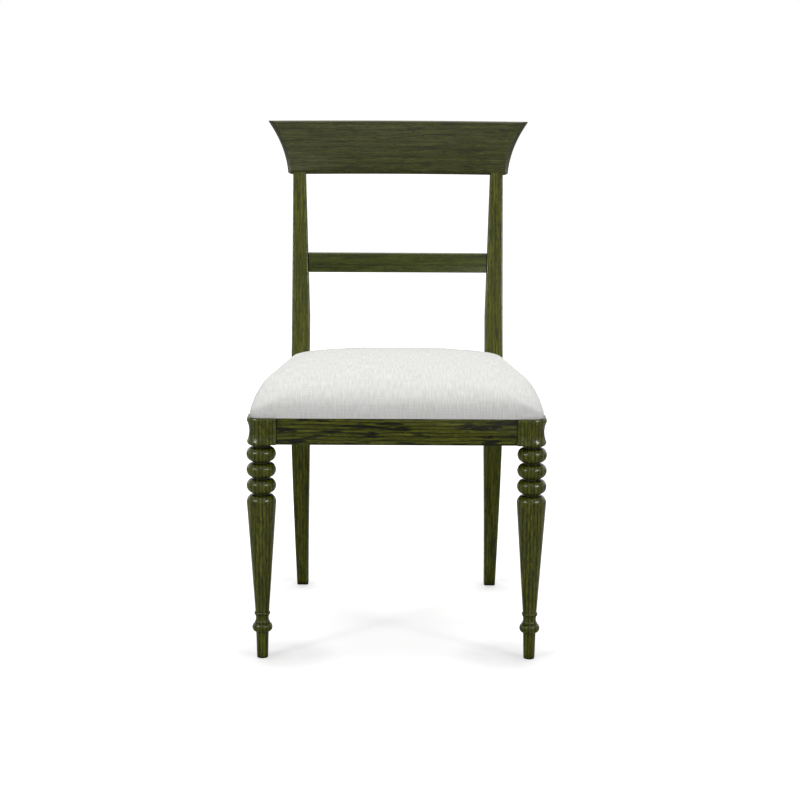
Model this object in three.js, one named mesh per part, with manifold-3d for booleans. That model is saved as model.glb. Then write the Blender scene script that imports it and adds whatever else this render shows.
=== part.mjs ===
// A klismos dining chair: turned front legs, sabre rear legs that run up as stiles, a flared and
// hollowed crest rail, a back rail, and an upholstered pad screwed down on a mortised seat frame.
// Lengths are in millimetres, +Z is up and the front faces -Y. Pieces are laid out from the plane
// of the front legs' axes, and the whole chair is then centred over its footprint.

import * as THREE from "three";
import { mergeVertices } from "three/addons/utils/BufferGeometryUtils.js";
import Module from "manifold-3d";

const wasm = await Module();
wasm.setup();

// Fits
const fit = 0.3; // left between two pieces that seat on each other
const overrun = 4; // how far a cut or a join runs past the face that it meets

// Seat frame
const frameTop = 420; // top of the seat rails above the floor
const railHeight = 45;
const railThickness = 24;
const frontLegSpacing = 457; // between the axes of the front legs
const frameDepth = 380; // from those axes back to the fronts of the rear legs
const rearFrameWidth = 395; // across the outsides of the rear legs at the seat
const railSetback = 18; // from a front leg's axis out to the face of each rail that meets it
const rearSetback = 2; // rails lie this far inside the faces of the rear legs
const tenonLength = 20;
const tenonThickness = 10;
const tenonShoulder = 8; // above and below a seat rail's tenon

// Front leg: its block, from the top down, and its turning
const legDiameter = 50; // across the rings and the shoulder of the taper
const blockInner = 26; // from the axis to the faces that the rails butt against
const blockBeadRadius = 24;
const blockWaistRadius = 20;
const blockEdgeRounding = 1.5; // how far the top and bottom edges fall inside the beads
const blockUndercut = 5; // from the block's underside down to the middle of the first neck
const ringPitch = 27.2;
const ringNeckHeight = 3;
const ringNeckDiameter = 28.8;
const shoulderHeight = 13.5;
const taperEndDiameter = 23.4;
const ankleBeadHeight = 5;
const ankleBeadDiameter = 27;
const ankleCoveHeight = 12.5;
const ankleCoveDiameter = 21.8;
const collarHeight = 2.5;
const collarDiameter = 26;
const footTorusHeight = 14.5;
const footTorusDiameter = 34.4;
const footTorusNeckDiameter = 24.4;
const pegHeight = 47;
const pegTopDiameter = 22;
const pegFootDiameter = 18.6;
const footEasing = 1.2; // the worn edge round each foot

// Rear leg and stile, one sawn piece
const legSweep = 90; // how far the foot runs back from the seat
const footDepth = 30;
const legDepth = 47; // from front to back at the seat rails
const legWidth = 33.5; // from side to side at the seat rails
const footWidth = 21.3;
const footToeIn = 5.5; // how far the foot's outside comes in
const stileTopDepth = 24;
const stileTopWidth = 23.8;
const stileKnee = 530; // height at which the stile starts to narrow
const legKnee = 280; // height at which the leg starts to narrow
const stileFlare = 50; // height in which the stile's front runs out of its curve at the seat
const stileEasing = 30; // the same at its back
const legEdge = 2.5; // flat taken off the long edges

// Crest rail
const crestBottom = 793;
const crestHeight = 99;
const crestOverhang = 10.5; // beyond the outsides of the stiles at its bottom
const crestFlare = 38.5; // how much further out its ends reach at the top
const crestRadius = 1000; // of the hollow front in plan
const crestBottomThickness = 24;
const crestTopThickness = 19;
const crestLean = 27; // how far the top lies behind the bottom
const crestEdge = 3; // rounding of its long edges and of its lower corners
const crestRounding = 8.5; // height of the larger rounding under its front
const crestRoundingDepth = 7;
const crestTenonHeight = 26;
const crestTenonThickness = 10;
const crestTenonWidth = 14;

// Back rail
const backRailBottom = 613;
const backRailHeight = 35;
const backRailThickness = 18;
const backRailSetback = 3;
const backTenonLength = 16;
const backTenonThickness = 8;
const backTenonShoulder = 5;

// Corner blocks and their screws
const cornerBlockHeight = 30;
const cornerBlockSpan = 36; // along each rail that it is glued to
const cornerBlockDrop = 2; // below the top of the rails
const screwRadius = 2.1;
const screwHeadRadius = 4.2;
const screwHeadHeight = 2.6;
const screwSeat = 12; // wood left under a rail screw's head
const screwBite = 12; // depth to which a rail screw enters the rail
const seatScrewBite = 8;

// Seat pad
const padHeight = 68.6; // from the frame to the crown
const padSetback = 0.6; // inside the beads of the front legs' blocks
const padOverhang = 3.5; // outside the side rails, at the rear
const padShoulder = 16.5; // width of the rounding from the sides up to the top
const padCorner = 116; // radius of the pad's corners in plan, at the top
const padRearSetback = 4; // from the backs of the rear legs to the pad's rear edge
const padClearance = 1.5; // round the stiles
const coverThickness = 1.6;
const coverHem = 22; // turned in under the board
const boardThickness = 12;
const dustCoverThickness = 1;

// Shares and counts
const stileLeanShare = 0.2448; // depth that the stiles gain for each unit of height
const sweepPower = 1.8; // of the curve in which the rear legs run back
const layerCornerShare = 0.11; // of the pad's top corner radius, for its flat layers
const padDrawInShare = 0.25; // of the pad's shoulder, at its bottom edge
const crownPower = 3; // of the curve in which the pad falls away from its middle
const sectionCrowding = 1.5; // draws the stile's sections together near the seat
const ringCount = 3;
const turningSegments = 24;
const screwSegments = 12;

// Places worked out from those sizes
const legRadius = legDiameter / 2;
const legX = frontLegSpacing / 2;
const rearHalf = rearFrameWidth / 2;
const rearInner = rearHalf - legWidth;
const frameBottom = frameTop - railHeight;
const legBack = frameDepth + legDepth;
const railInner = railThickness - railSetback;
const rearRailBack = legBack - rearSetback;
const rearRailFront = rearRailBack - railThickness;
const cornerBlockTop = frameTop - cornerBlockDrop;
const cornerBlockBottom = cornerBlockTop - cornerBlockHeight;
const padBottom = frameTop + fit;
const boardBottom = padBottom + coverThickness + fit;
const boardTop = boardBottom + boardThickness;

// Materials
const oak = () => new THREE.MeshStandardMaterial({ color: 0x3b3e1c, roughness: 0.42, metalness: 0 });
const linen = () => new THREE.MeshStandardMaterial({ color: 0xe6e5e1, roughness: 0.95, metalness: 0 });
const foam = () => new THREE.MeshStandardMaterial({ color: 0xe9dcae, roughness: 0.9, metalness: 0 });
const plywood = () => new THREE.MeshStandardMaterial({ color: 0xc8a878, roughness: 0.7, metalness: 0 });
const cambric = () => new THREE.MeshStandardMaterial({ color: 0x1d1d1e, roughness: 0.95, metalness: 0 });
const steel = () => new THREE.MeshStandardMaterial({ color: 0xb4b2a6, roughness: 0.35, metalness: 1 });

// A closed geometry as a solid for joining and cutting.
function solid(geometry) {
  const bare = geometry.clone();
  bare.deleteAttribute("normal");
  bare.deleteAttribute("uv");
  const merged = mergeVertices(bare);
  return new wasm.Manifold(
    new wasm.Mesh({
      numProp: 3,
      vertProperties: merged.attributes.position.array,
      triVerts: new Uint32Array(merged.index.array),
    }),
  );
}

// The geometry of a solid.
function geometryOf(body) {
  const mesh = body.getMesh();
  const geometry = new THREE.BufferGeometry();
  geometry.setAttribute("position", new THREE.BufferAttribute(mesh.vertProperties, 3));
  geometry.setIndex(new THREE.BufferAttribute(mesh.triVerts, 1));
  return geometry;
}

// Joins solids to the first, then cuts others away.
function shaped(first, joins = [], cuts = []) {
  const joined = joins.reduce((body, other) => body.add(solid(other)), solid(first));
  return geometryOf(cuts.reduce((body, other) => body.subtract(solid(other)), joined));
}

// The same piece for the other side of the chair.
function mirrored(geometry) {
  const other = geometry.index ? geometry.toNonIndexed() : geometry.clone();
  other.scale(-1, 1, 1);
  const p = other.attributes.position;
  for (let i = 0; i < p.count; i += 3) {
    const [x, y, z] = [p.getX(i), p.getY(i), p.getZ(i)];
    p.setXYZ(i, p.getX(i + 1), p.getY(i + 1), p.getZ(i + 1));
    p.setXYZ(i + 1, x, y, z);
  }
  return mergeVertices(other);
}

// The sides of a skin through rings of equally many points, as triangles of point numbers. The
// rings run anticlockwise seen from the end that the skin grows towards.
function skinIndex(rings) {
  const n = rings[0].length;
  const index = [];
  for (let row = 0; row < (rings.length - 1) * n; row += n) {
    for (let k = 0; k < n; k += 1) {
      const next = (k + 1) % n;
      index.push(row + k, row + next, row + n + next, row + k, row + n + next, row + n + k);
    }
  }
  return index;
}

function indexed(points, index) {
  const geometry = new THREE.BufferGeometry().setFromPoints(points);
  geometry.setIndex(index);
  return geometry;
}

// A skin through rings, closed by a fan at each end.
function loft(rings) {
  const n = rings[0].length;
  const centre = (ring) => ring.reduce((sum, p) => sum.add(p), new THREE.Vector3()).divideScalar(n);
  const points = [...rings.flat(), centre(rings[0]), centre(rings.at(-1))];
  const last = (rings.length - 1) * n;
  const index = skinIndex(rings);
  for (let k = 0; k < n; k += 1) {
    const next = (k + 1) % n;
    index.push(points.length - 2, next, k, points.length - 1, last + k, last + next);
  }
  return indexed(points, index);
}

// A skin through long rings, each of which runs up one side and back down the other over equally
// many points. Rungs from side to side close its ends.
function ladderLoft(rings) {
  const n = rings[0].length;
  const last = (rings.length - 1) * n;
  const index = skinIndex(rings);
  for (let k = 0; k < n / 2 - 1; k += 1) {
    const across = n - 1 - k;
    index.push(k + 1, k, across - 1, across - 1, k, across);
    index.push(last + k, last + k + 1, last + across - 1, last + k, last + across - 1, last + across);
  }
  return indexed(rings.flat(), index);
}

// A plan outline raised between two heights.
function prism(outline, bottom, top) {
  const shape = new THREE.Shape(outline);
  const geometry = new THREE.ExtrudeGeometry(shape, { depth: top - bottom, bevelEnabled: false });
  return geometry.translate(0, 0, bottom);
}

// A side outline, of points at (Y, Z), carried along X.
function prismAcross(outline, left, right) {
  const geometry = prism(outline, left, right);
  const turn = new THREE.Matrix4().makeBasis(
    new THREE.Vector3(0, 1, 0),
    new THREE.Vector3(0, 0, 1),
    new THREE.Vector3(1, 0, 0),
  );
  return geometry.applyMatrix4(turn);
}

// A box between two values along each axis.
function block(x, y, z) {
  const geometry = new THREE.BoxGeometry(x[1] - x[0], y[1] - y[0], z[1] - z[0]);
  return geometry.translate((x[0] + x[1]) / 2, (y[0] + y[1]) / 2, (z[0] + z[1]) / 2);
}

// A turned solid about Z, from its outline of radius and height, lowest point first.
function turned(outline, segments) {
  return new THREE.LatheGeometry(outline, segments).rotateX(Math.PI / 2);
}

// A round hole's cutter, from a point along a direction.
function bore(point, direction, radius, length) {
  const geometry = new THREE.CylinderGeometry(radius, radius, length, screwSegments);
  const along = new THREE.Quaternion().setFromUnitVectors(new THREE.Vector3(0, 1, 0), direction);
  const middle = point.clone().addScaledVector(direction, length / 2);
  return geometry.applyQuaternion(along).translate(middle.x, middle.y, middle.z);
}

// Half an ellipse between two heights, swelling from the neck's radius to the crown's, or, where
// the crown is the smaller, hollowing.
function swell(bottom, top, neck, crown, steps) {
  const points = [];
  for (let k = 0; k <= steps; k += 1) {
    const angle = (Math.PI * k) / steps;
    const radius = neck + (crown - neck) * Math.sin(angle);
    points.push(new THREE.Vector2(radius, bottom + ((top - bottom) * (1 - Math.cos(angle))) / 2));
  }
  return points;
}

// The turning of a front leg from its foot up into the block.
function legOutline() {
  const point = (diameter, height) => new THREE.Vector2(diameter / 2, height);
  const torusBottom = pegHeight;
  const torusTop = torusBottom + footTorusHeight;
  const collarTop = torusTop + collarHeight;
  const coveTop = collarTop + ankleCoveHeight;
  const ankleTop = coveTop + ankleBeadHeight;
  const firstNeck = frameBottom - blockUndercut;
  const halfNeck = ringNeckHeight / 2;
  const shoulderTop = firstNeck - ringCount * ringPitch - halfNeck;
  const neck = ringNeckDiameter / 2;
  const points = [
    new THREE.Vector2(0, 0),
    new THREE.Vector2(pegFootDiameter / 2 - footEasing, 0),
    point(pegFootDiameter, footEasing),
    point(pegTopDiameter, torusBottom),
    ...swell(torusBottom, torusTop, footTorusNeckDiameter / 2, footTorusDiameter / 2, 8),
    point(collarDiameter, torusTop),
    ...swell(collarTop, coveTop, collarDiameter / 2, ankleCoveDiameter / 2, 6),
    ...swell(coveTop, ankleTop, taperEndDiameter / 2, ankleBeadDiameter / 2, 6).slice(1),
  ];
  // the shoulder is a quarter of an ellipse from the taper's widest place in to the last neck
  const shoulderSteps = 5;
  for (let k = 0; k <= shoulderSteps; k += 1) {
    const angle = (Math.PI * k) / (2 * shoulderSteps);
    const radius = neck + (legRadius - neck) * Math.cos(angle);
    points.push(new THREE.Vector2(radius, shoulderTop - shoulderHeight * (1 - Math.sin(angle))));
  }
  for (let ring = ringCount; ring > 0; ring -= 1) {
    const bottom = firstNeck - ring * ringPitch + halfNeck;
    points.push(...swell(bottom, bottom + ringPitch - ringNeckHeight, neck, legRadius, 10));
  }
  // under the block the neck opens in a quarter round, which the block covers
  const undercutSteps = 3;
  const underRadius = blockBeadRadius - blockEdgeRounding;
  for (let k = 0; k <= undercutSteps; k += 1) {
    const angle = (Math.PI * k) / (2 * undercutSteps);
    const radius = neck + (underRadius - neck) * Math.sin(angle);
    const rise = (blockUndercut - halfNeck) * (1 - Math.cos(angle));
    points.push(new THREE.Vector2(radius, firstNeck + halfNeck + rise));
  }
  points.push(new THREE.Vector2(underRadius, frameBottom + fit));
  points.push(new THREE.Vector2(0, frameBottom + fit));
  return points;
}

// Radius of the block's moulding at a share of its height: a hollow between two beads.
function blockRadius(share) {
  const waistShare = 0.47;
  const beadShare = 0.4; // from the waist to either bead
  const away = Math.abs(share - waistShare);
  if (away <= beadShare) {
    return blockWaistRadius + (blockBeadRadius - blockWaistRadius) * (away / beadShare) ** 2;
  }
  const edgeShare = share < waistShare ? waistShare : 1 - waistShare;
  return blockBeadRadius - blockEdgeRounding * ((away - beadShare) / (edgeShare - beadShare)) ** 2;
}

// The left front leg about its own axis. Its block is moulded on the front, round the outer corner
// and on the outer side, and flat where the two rails butt against it.
function frontLeg() {
  const rings = [];
  const heightShares = [0, 0.035, 0.07, 0.13, 0.2, 0.3, 0.4, 0.54, 0.64, 0.72, 0.8, 0.87, 0.93, 1];
  const cornerSteps = 7;
  for (const share of heightShares) {
    const radius = blockRadius(share);
    const height = frameBottom + railHeight * share;
    const ring = [
      new THREE.Vector3(blockInner, -radius, height),
      new THREE.Vector3(blockInner, blockInner, height),
      new THREE.Vector3(-radius, blockInner, height),
    ];
    for (let k = 0; k <= cornerSteps; k += 1) {
      const angle = Math.PI + (Math.PI * k) / (2 * cornerSteps);
      ring.push(new THREE.Vector3(radius * Math.cos(angle), radius * Math.sin(angle), height));
    }
    rings.push(ring);
  }
  const frontMortise = block(
    [blockInner - tenonLength - fit, blockInner + overrun],
    tenonSpan(-railSetback, fit),
    tenonRise(fit),
  );
  const sideMortise = prism(sideStrip(sideTenonFront(fit), blockInner + overrun, fit), ...tenonRise(fit));
  sideMortise.translate(legX, 0, 0);
  return shaped(turned(legOutline(), turningSegments), [loft(rings)], [frontMortise, sideMortise]);
}

// Across its thickness a tenon lies in the middle of the rail whose outer face is given.
function tenonSpan(face, grow) {
  const start = face + (railThickness - tenonThickness) / 2;
  return [start - grow, start + tenonThickness + grow];
}

function tenonRise(grow) {
  return [frameBottom + tenonShoulder - grow, frameTop - tenonShoulder + grow];
}

// The side rails close in towards the rear. Their outer face lies on one slanting plane.
const sideFront = legX + railSetback;
const sideRear = rearHalf - rearSetback;
const sideSlope = (sideFront - sideRear) / (frameDepth - blockInner);
const sideAngle = Math.atan(sideSlope);

// X of a point of the left side rail, at Y and a distance in from its outer face.
function sideX(y, inward) {
  return -(sideFront - (y - blockInner) * sideSlope) + inward / Math.cos(sideAngle);
}

// Plan of the left side rail, or of its tenon where a clearance is given, between two depths.
function sideStrip(front, rear, grow) {
  const [near, far] = grow === undefined ? [0, railThickness] : tenonSpan(0, grow);
  return [
    new THREE.Vector2(sideX(front, near), front),
    new THREE.Vector2(sideX(front, far), front),
    new THREE.Vector2(sideX(rear, far), rear),
    new THREE.Vector2(sideX(rear, near), rear),
  ];
}

function sideTenonFront(grow) {
  return blockInner - tenonLength - grow;
}

function sideTenonRear(grow) {
  return frameDepth + tenonLength + grow;
}

// Depth of the back of a rear leg or stile at a height: it sweeps back in a power curve below the
// seat, and above it eases into a straight lean.
function legBackAt(height) {
  if (height <= frameTop) return legFrontAt(height) + legDepthAt(height);
  const rise = height - frameTop;
  return legBack + stileLeanShare * (rise - stileEasing * (1 - Math.exp(-rise / stileEasing)));
}

function legDepthAt(height) {
  if (height <= frameTop) {
    return footDepth + (legDepth - footDepth) * Math.min(height / frameBottom, 1);
  }
  const spread = Math.exp(-(height - frameTop) / stileFlare);
  return stileTopDepth + (legDepth - stileTopDepth) * spread;
}

function legFrontAt(height) {
  if (height > frameTop) return legBackAt(height) - legDepthAt(height);
  const below = Math.max(frameBottom - height, 0) / frameBottom;
  return frameDepth + legSweep * below ** sweepPower;
}

// Distance of a rear leg's outside, and of its inside, from the chair's middle.
function legOuterAt(height) {
  return rearHalf - footToeIn * Math.max((legKnee - height) / legKnee, 0);
}

function legInnerAt(height) {
  const belowKnee = Math.max((legKnee - height) / legKnee, 0);
  const aboveKnee = Math.max((height - stileKnee) / (crestBottom - stileKnee), 0);
  const narrowed = (legWidth - footWidth) * belowKnee + (legWidth - stileTopWidth) * aboveKnee;
  return legOuterAt(height) - legWidth + narrowed;
}

// A level section with its four corners cut off, anticlockwise from above.
function cutSection(left, right, front, back, edge, height) {
  const corners = [
    [left + edge, front],
    [right - edge, front],
    [right, front + edge],
    [right, back - edge],
    [right - edge, back],
    [left + edge, back],
    [left, back - edge],
    [left, front + edge],
  ];
  return corners.map(([x, y]) => new THREE.Vector3(x, y, height));
}

function legSection(height, easing) {
  const section = cutSection(
    -legOuterAt(height) + easing,
    -legInnerAt(height) - easing,
    legFrontAt(height) + easing,
    legBackAt(height) - easing,
    legEdge,
    height,
  );
  const middle = -(legOuterAt(height) + legInnerAt(height)) / 2;
  const turn = stileTurnAt(height);
  return section.map((p) => new THREE.Vector3(p.x, p.y + (p.x - middle) * turn, height));
}

// Slope of the stile's front in plan: above the back rail it turns into the crest rail's curve.
function stileTurnAt(height) {
  const start = backRailBottom + backRailHeight;
  const share = Math.min(Math.max((height - start) / (crestBottom - start), 0), 1);
  return (share ** 2 * crestStileX) / Math.sqrt(crestRadius ** 2 - crestStileX ** 2);
}

// Tenon that carries the crest rail, which leans as the rail does.
function crestTenon(grow, start) {
  const middle = -(legOuterAt(crestBottom) + legInnerAt(crestBottom)) / 2;
  const bottom = crestBottom - start;
  const heights = [bottom, crestBottom, crestBottom + crestTenonHeight + grow];
  const rings = heights.map((height) => {
    const share = Math.max(height - crestBottom, 0) / crestHeight;
    const depth = crestFace(middle, crestLeanAt(share) + crestBottomThickness / 2);
    const half = crestTenonThickness / 2 + grow;
    return [
      new THREE.Vector3(middle - crestTenonWidth / 2 - grow, depth - half, height),
      new THREE.Vector3(middle + crestTenonWidth / 2 + grow, depth - half, height),
      new THREE.Vector3(middle + crestTenonWidth / 2 + grow, depth + half, height),
      new THREE.Vector3(middle - crestTenonWidth / 2 - grow, depth + half, height),
    ];
  });
  return loft(rings);
}

// The left rear leg and stile with its crest tenon, and mortises for three rails. Its front is
// scribed to the rounding under the crest rail's front.
function rearLeg() {
  const sectionsBelow = 14;
  const sectionsAbove = 16;
  const stileTop = crestBottom - fit;
  const rings = [legSection(0, footEasing)];
  for (let k = 0; k < sectionsBelow; k += 1) {
    rings.push(legSection(footEasing + ((frameBottom - footEasing) * k) / sectionsBelow, 0));
  }
  rings.push(legSection(frameBottom, 0));
  for (let k = 0; k <= sectionsAbove; k += 1) {
    const share = (k / sectionsAbove) ** sectionCrowding;
    rings.push(legSection(frameTop + (stileTop - frameTop) * share, 0));
  }
  rings.push(legSection(crestBottom + crestRounding, 0));
  const scribes = [-fit, crestBottomThickness / 2].map((y) => crestBody().translate(0, y, -fit));
  const stile = shaped(loft(rings), [], scribes);
  const sideMortise = prism(sideStrip(frameDepth - overrun, sideTenonRear(fit), fit), ...tenonRise(fit));
  const rearMortise = block(
    [-rearInner - tenonLength - fit, -rearInner + overrun],
    tenonSpan(rearRailFront, fit),
    tenonRise(fit),
  );
  return shaped(stile, [crestTenon(0, overrun)], [sideMortise, rearMortise, backTenon(fit)]);
}

// Seat rails
function frontRail() {
  const end = legX - blockInner - fit;
  const y = [-railSetback, railInner];
  const tenon = block([-end - tenonLength, end + tenonLength], tenonSpan(-railSetback, 0), tenonRise(0));
  return shaped(block([-end, end], y, [frameBottom, frameTop]), [tenon], cornerBores("front", "cross"));
}

function rearRail() {
  const end = rearInner - fit;
  const y = [rearRailFront, rearRailBack];
  const tenon = block([-end - tenonLength, end + tenonLength], tenonSpan(rearRailFront, 0), tenonRise(0));
  return shaped(block([-end, end], y, [frameBottom, frameTop]), [tenon], cornerBores("rear", "cross"));
}

function sideRail() {
  const front = blockInner + fit;
  const rear = frameDepth - fit;
  const body = prism(sideStrip(front, rear), frameBottom, frameTop);
  const tenon = prism(sideStrip(sideTenonFront(-fit), sideTenonRear(-fit), 0), ...tenonRise(0));
  const bores = [cornerBlocks.front, cornerBlocks.rear].map((corner) => railBore(corner.side));
  return shaped(body, [tenon], bores);
}

// Depth of a point of the crest rail at X, a distance behind the bottom of its front face. The
// face meets the stiles' fronts and is hollow between them.
function crestFace(x, behind) {
  const radius = crestRadius + behind;
  return crestAxis + Math.sqrt(radius ** 2 - x ** 2);
}

const crestStileX = (legOuterAt(crestBottom) + legInnerAt(crestBottom)) / 2;
const crestAxis = legFrontAt(crestBottom) - Math.sqrt(crestRadius ** 2 - crestStileX ** 2);

// The front hollows back towards the top, slowly at first.
function crestLeanAt(share) {
  const straightShare = 0.55;
  return crestLean * (straightShare * share + (1 - straightShare) * share ** 2);
}

// Distance of the back from the front's bottom, at a share of the height.
function crestBackAt(share) {
  return crestLeanAt(share) + crestBottomThickness + (crestTopThickness - crestBottomThickness) * share;
}

// Half the width across the ends at the back. They flare out in a curve that starts nearly upright,
// from a small rounding at the lower corners.
function crestHalfAt(share) {
  const startShare = 0.15;
  const flare = crestFlare * (startShare * share + (1 - startShare) * share ** 2);
  const corner = crestEdge * Math.max(1 - (share * crestHeight) / crestEdge, 0) ** 2;
  return rearHalf + crestOverhang + flare - corner;
}

// How far the ends close in for each unit of thickness from the back to the front. They are cut
// square to the face, so this grows with the flare.
function crestSplayAt(share) {
  const bottomShare = 0.06;
  const gainShare = 0.28;
  return bottomShare + gainShare * share;
}

// The section of the crest rail as pairs of height share and distance behind the front's bottom, up
// the front and back down the back, over the same heights.
function crestSection() {
  const roundingSteps = 5;
  const shares = [0];
  for (let k = 1; k <= roundingSteps; k += 1) {
    const angle = (Math.PI * k) / (2 * roundingSteps);
    shares.push((crestRounding / crestHeight) * (1 - Math.cos(angle)));
  }
  const edgeShare = crestEdge / crestHeight;
  shares.push(0.15, 0.3, 0.45, 0.6, 0.74, 0.87, 1 - edgeShare, 1);
  const front = shares.map((share) => {
    const below = Math.max(1 - (share * crestHeight) / crestRounding, 0);
    const rounding = crestRoundingDepth * (1 - Math.sqrt(1 - below ** 2));
    return [share, crestLeanAt(share) + rounding + crestEdgeAt(1 - share)];
  });
  const back = shares.map((share) => {
    return [share, crestBackAt(share) - crestEdgeAt(share) - crestEdgeAt(1 - share)];
  });
  return [...front, ...back.reverse()];
}

// How far a long edge is cut back, at a share of the height away from it.
function crestEdgeAt(share) {
  return Math.max(crestEdge - share * crestHeight, 0);
}

// The crest rail without its mortises.
function crestBody() {
  const stations = 28;
  const section = crestSection();
  const rings = [];
  for (let k = 0; k <= stations; k += 1) {
    const across = (2 * k) / stations - 1;
    const ring = section.map(([share, behind]) => {
      const radius = crestRadius + behind;
      const back = crestBackAt(share);
      const splay = (crestSplayAt(share) * (back - behind)) / radius;
      const angle = (Math.asin(crestHalfAt(share) / (crestRadius + back)) - splay) * across;
      return new THREE.Vector3(
        radius * Math.sin(angle),
        crestAxis + radius * Math.cos(angle),
        crestBottom + crestHeight * share,
      );
    });
    rings.push(ring.reverse());
  }
  return ladderLoft(rings);
}

function crestRail() {
  const mortise = crestTenon(fit, overrun);
  return shaped(crestBody(), [], [mortise, mirrored(mortise)]);
}

// Points of the back rail's section between two insets, in the slanting plane of the stiles.
function backSection(shoulder, near, far) {
  const bottom = backRailBottom + shoulder;
  const top = backRailBottom + backRailHeight - shoulder;
  return [
    [legFrontAt(bottom) + near, bottom],
    [legFrontAt(bottom) + far, bottom],
    [legFrontAt(top) + far, top],
    [legFrontAt(top) + near, top],
  ];
}

// The back rail's tenon, which passes right through the rail, or its mortises.
function backTenon(grow) {
  const near = backRailSetback + (backRailThickness - backTenonThickness) / 2;
  const outline = backSection(backTenonShoulder - grow, near - grow, near + backTenonThickness + grow);
  const half = legInnerAt(backRailBottom) + backTenonLength + grow;
  return prismAcross(outline.map(([y, z]) => new THREE.Vector2(y, z)), -half, half);
}

function backRail() {
  const section = backSection(0, backRailSetback, backRailSetback + backRailThickness);
  const end = (side) => section.map(([y, z]) => new THREE.Vector3(side * (legInnerAt(z) - fit), y, z));
  return shaped(loft([end(-1), end(1)]), [backTenon(0)], []);
}

// Where a left corner block meets the rail across the chair and the side rail: on each, its near
// and far end, its screw and the direction in which that screw runs. It passes just inside the leg.
const intoSide = new THREE.Vector3(-Math.cos(sideAngle), Math.sin(sideAngle), 0);

function cornerOn(near, far, direction) {
  const middle = near.clone().add(far).divideScalar(2);
  const point = new THREE.Vector3(middle.x, middle.y, (cornerBlockTop + cornerBlockBottom) / 2);
  const head = point.addScaledVector(direction, -screwSeat);
  return { near, far, direction, head };
}

function sidePlace(y) {
  return new THREE.Vector2(sideX(y, railThickness + fit), y);
}

function frontCorner() {
  const reach = railInner + 2 * (blockInner - railInner + fit);
  const crossNear = -legX + reach;
  const face = railInner + fit;
  return {
    cross: cornerOn(
      new THREE.Vector2(crossNear, face),
      new THREE.Vector2(crossNear + cornerBlockSpan, face),
      new THREE.Vector3(0, -1, 0),
    ),
    side: cornerOn(sidePlace(reach), sidePlace(reach + cornerBlockSpan), intoSide),
  };
}

function rearCorner() {
  const face = rearRailFront - fit;
  const crossNear = -rearInner + (rearRailFront - frameDepth) + fit;
  const proud = rearInner + sideX(frameDepth, railThickness);
  const sideNear = frameDepth + proud - fit;
  return {
    cross: cornerOn(
      new THREE.Vector2(crossNear, face),
      new THREE.Vector2(crossNear + cornerBlockSpan, face),
      new THREE.Vector3(0, 1, 0),
    ),
    side: cornerOn(sidePlace(sideNear), sidePlace(sideNear - cornerBlockSpan), intoSide),
  };
}

const cornerBlocks = { front: frontCorner(), rear: rearCorner() };

// A screw's hole in the rail that it bites into.
function railBore(meeting) {
  const length = screwSeat + screwBite + fit;
  return bore(meeting.head, meeting.direction, screwRadius + fit, length);
}

// The holes of both corner blocks of one end, left and right, in the rail across.
function cornerBores(end, rail) {
  const hole = railBore(cornerBlocks[end][rail]);
  return [hole, mirrored(hole)];
}

// Foot of the seat screw: the middle of the corner block's underside.
function seatScrewPlace(corner) {
  const ends = [corner.cross.near, corner.cross.far, corner.side.near, corner.side.far];
  const middle = ends.reduce((sum, p) => sum.add(p), new THREE.Vector2()).divideScalar(ends.length);
  return new THREE.Vector3(middle.x, middle.y, cornerBlockBottom - fit);
}

const up = new THREE.Vector3(0, 0, 1);
const seatScrewLength = boardBottom + seatScrewBite - cornerBlockBottom + fit;

function seatScrewBore(corner) {
  return bore(seatScrewPlace(corner), up, screwRadius + fit, seatScrewLength + fit);
}

// The holes for all the seat screws, left and right.
function seatScrewBores() {
  const holes = Object.values(cornerBlocks).map(seatScrewBore);
  return [...holes, ...holes.map(mirrored)];
}

// A glued corner block, with a counterbored hole for each rail screw and one for the seat screw.
function cornerBlock(corner) {
  const outline = [corner.cross.near, corner.cross.far, corner.side.far, corner.side.near];
  const cuts = [seatScrewBore(corner)];
  for (const meeting of [corner.cross, corner.side]) {
    const back = meeting.direction.clone().negate();
    const seat = meeting.head.clone().addScaledVector(meeting.direction, fit);
    cuts.push(railBore(meeting), bore(seat, back, screwHeadRadius + fit, cornerBlockSpan));
  }
  const plain = prism(orderedOutline(outline), cornerBlockBottom, cornerBlockTop);
  return shaped(plain, [], cuts);
}

// An outline turned to run anticlockwise.
function orderedOutline(outline) {
  return THREE.ShapeUtils.area(outline) < 0 ? [...outline].reverse() : outline;
}

// A round-headed wood screw. Its head bears at the origin and its shank runs down.
function screw(length) {
  const tipShare = 3; // length of the point in radii of the shank
  const tip = tipShare * screwRadius;
  const outline = [new THREE.Vector2(0, -length), new THREE.Vector2(screwRadius, tip - length)];
  outline.push(new THREE.Vector2(screwRadius, 0));
  const steps = 4;
  for (let k = 0; k <= steps; k += 1) {
    const angle = (Math.PI * k) / (2 * steps);
    const radius = screwHeadRadius * Math.cos(angle);
    outline.push(new THREE.Vector2(k < steps ? radius : 0, screwHeadHeight * Math.sin(angle)));
  }
  return turned(outline, screwSegments);
}

// Plan of the pad: it follows the frame's outside, and its corners are round.
const padFront = -blockBeadRadius + padSetback;
const padRear = legBack - padRearSetback;
const padFrontHalf = legX + blockBeadRadius - padSetback;
const padRearHalf = sideRear + padOverhang - (padRear - frameDepth) * sideSlope;
const padSlope = (padFrontHalf - padRearHalf) / (padRear - padFront);
const padAngle = Math.atan(padSlope);

// Distance of the pad's side from the middle at Y, a distance in from its edge.
function padHalfAt(y, inset) {
  return padFrontHalf - (y - padFront) * padSlope - inset / Math.cos(padAngle);
}

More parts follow.
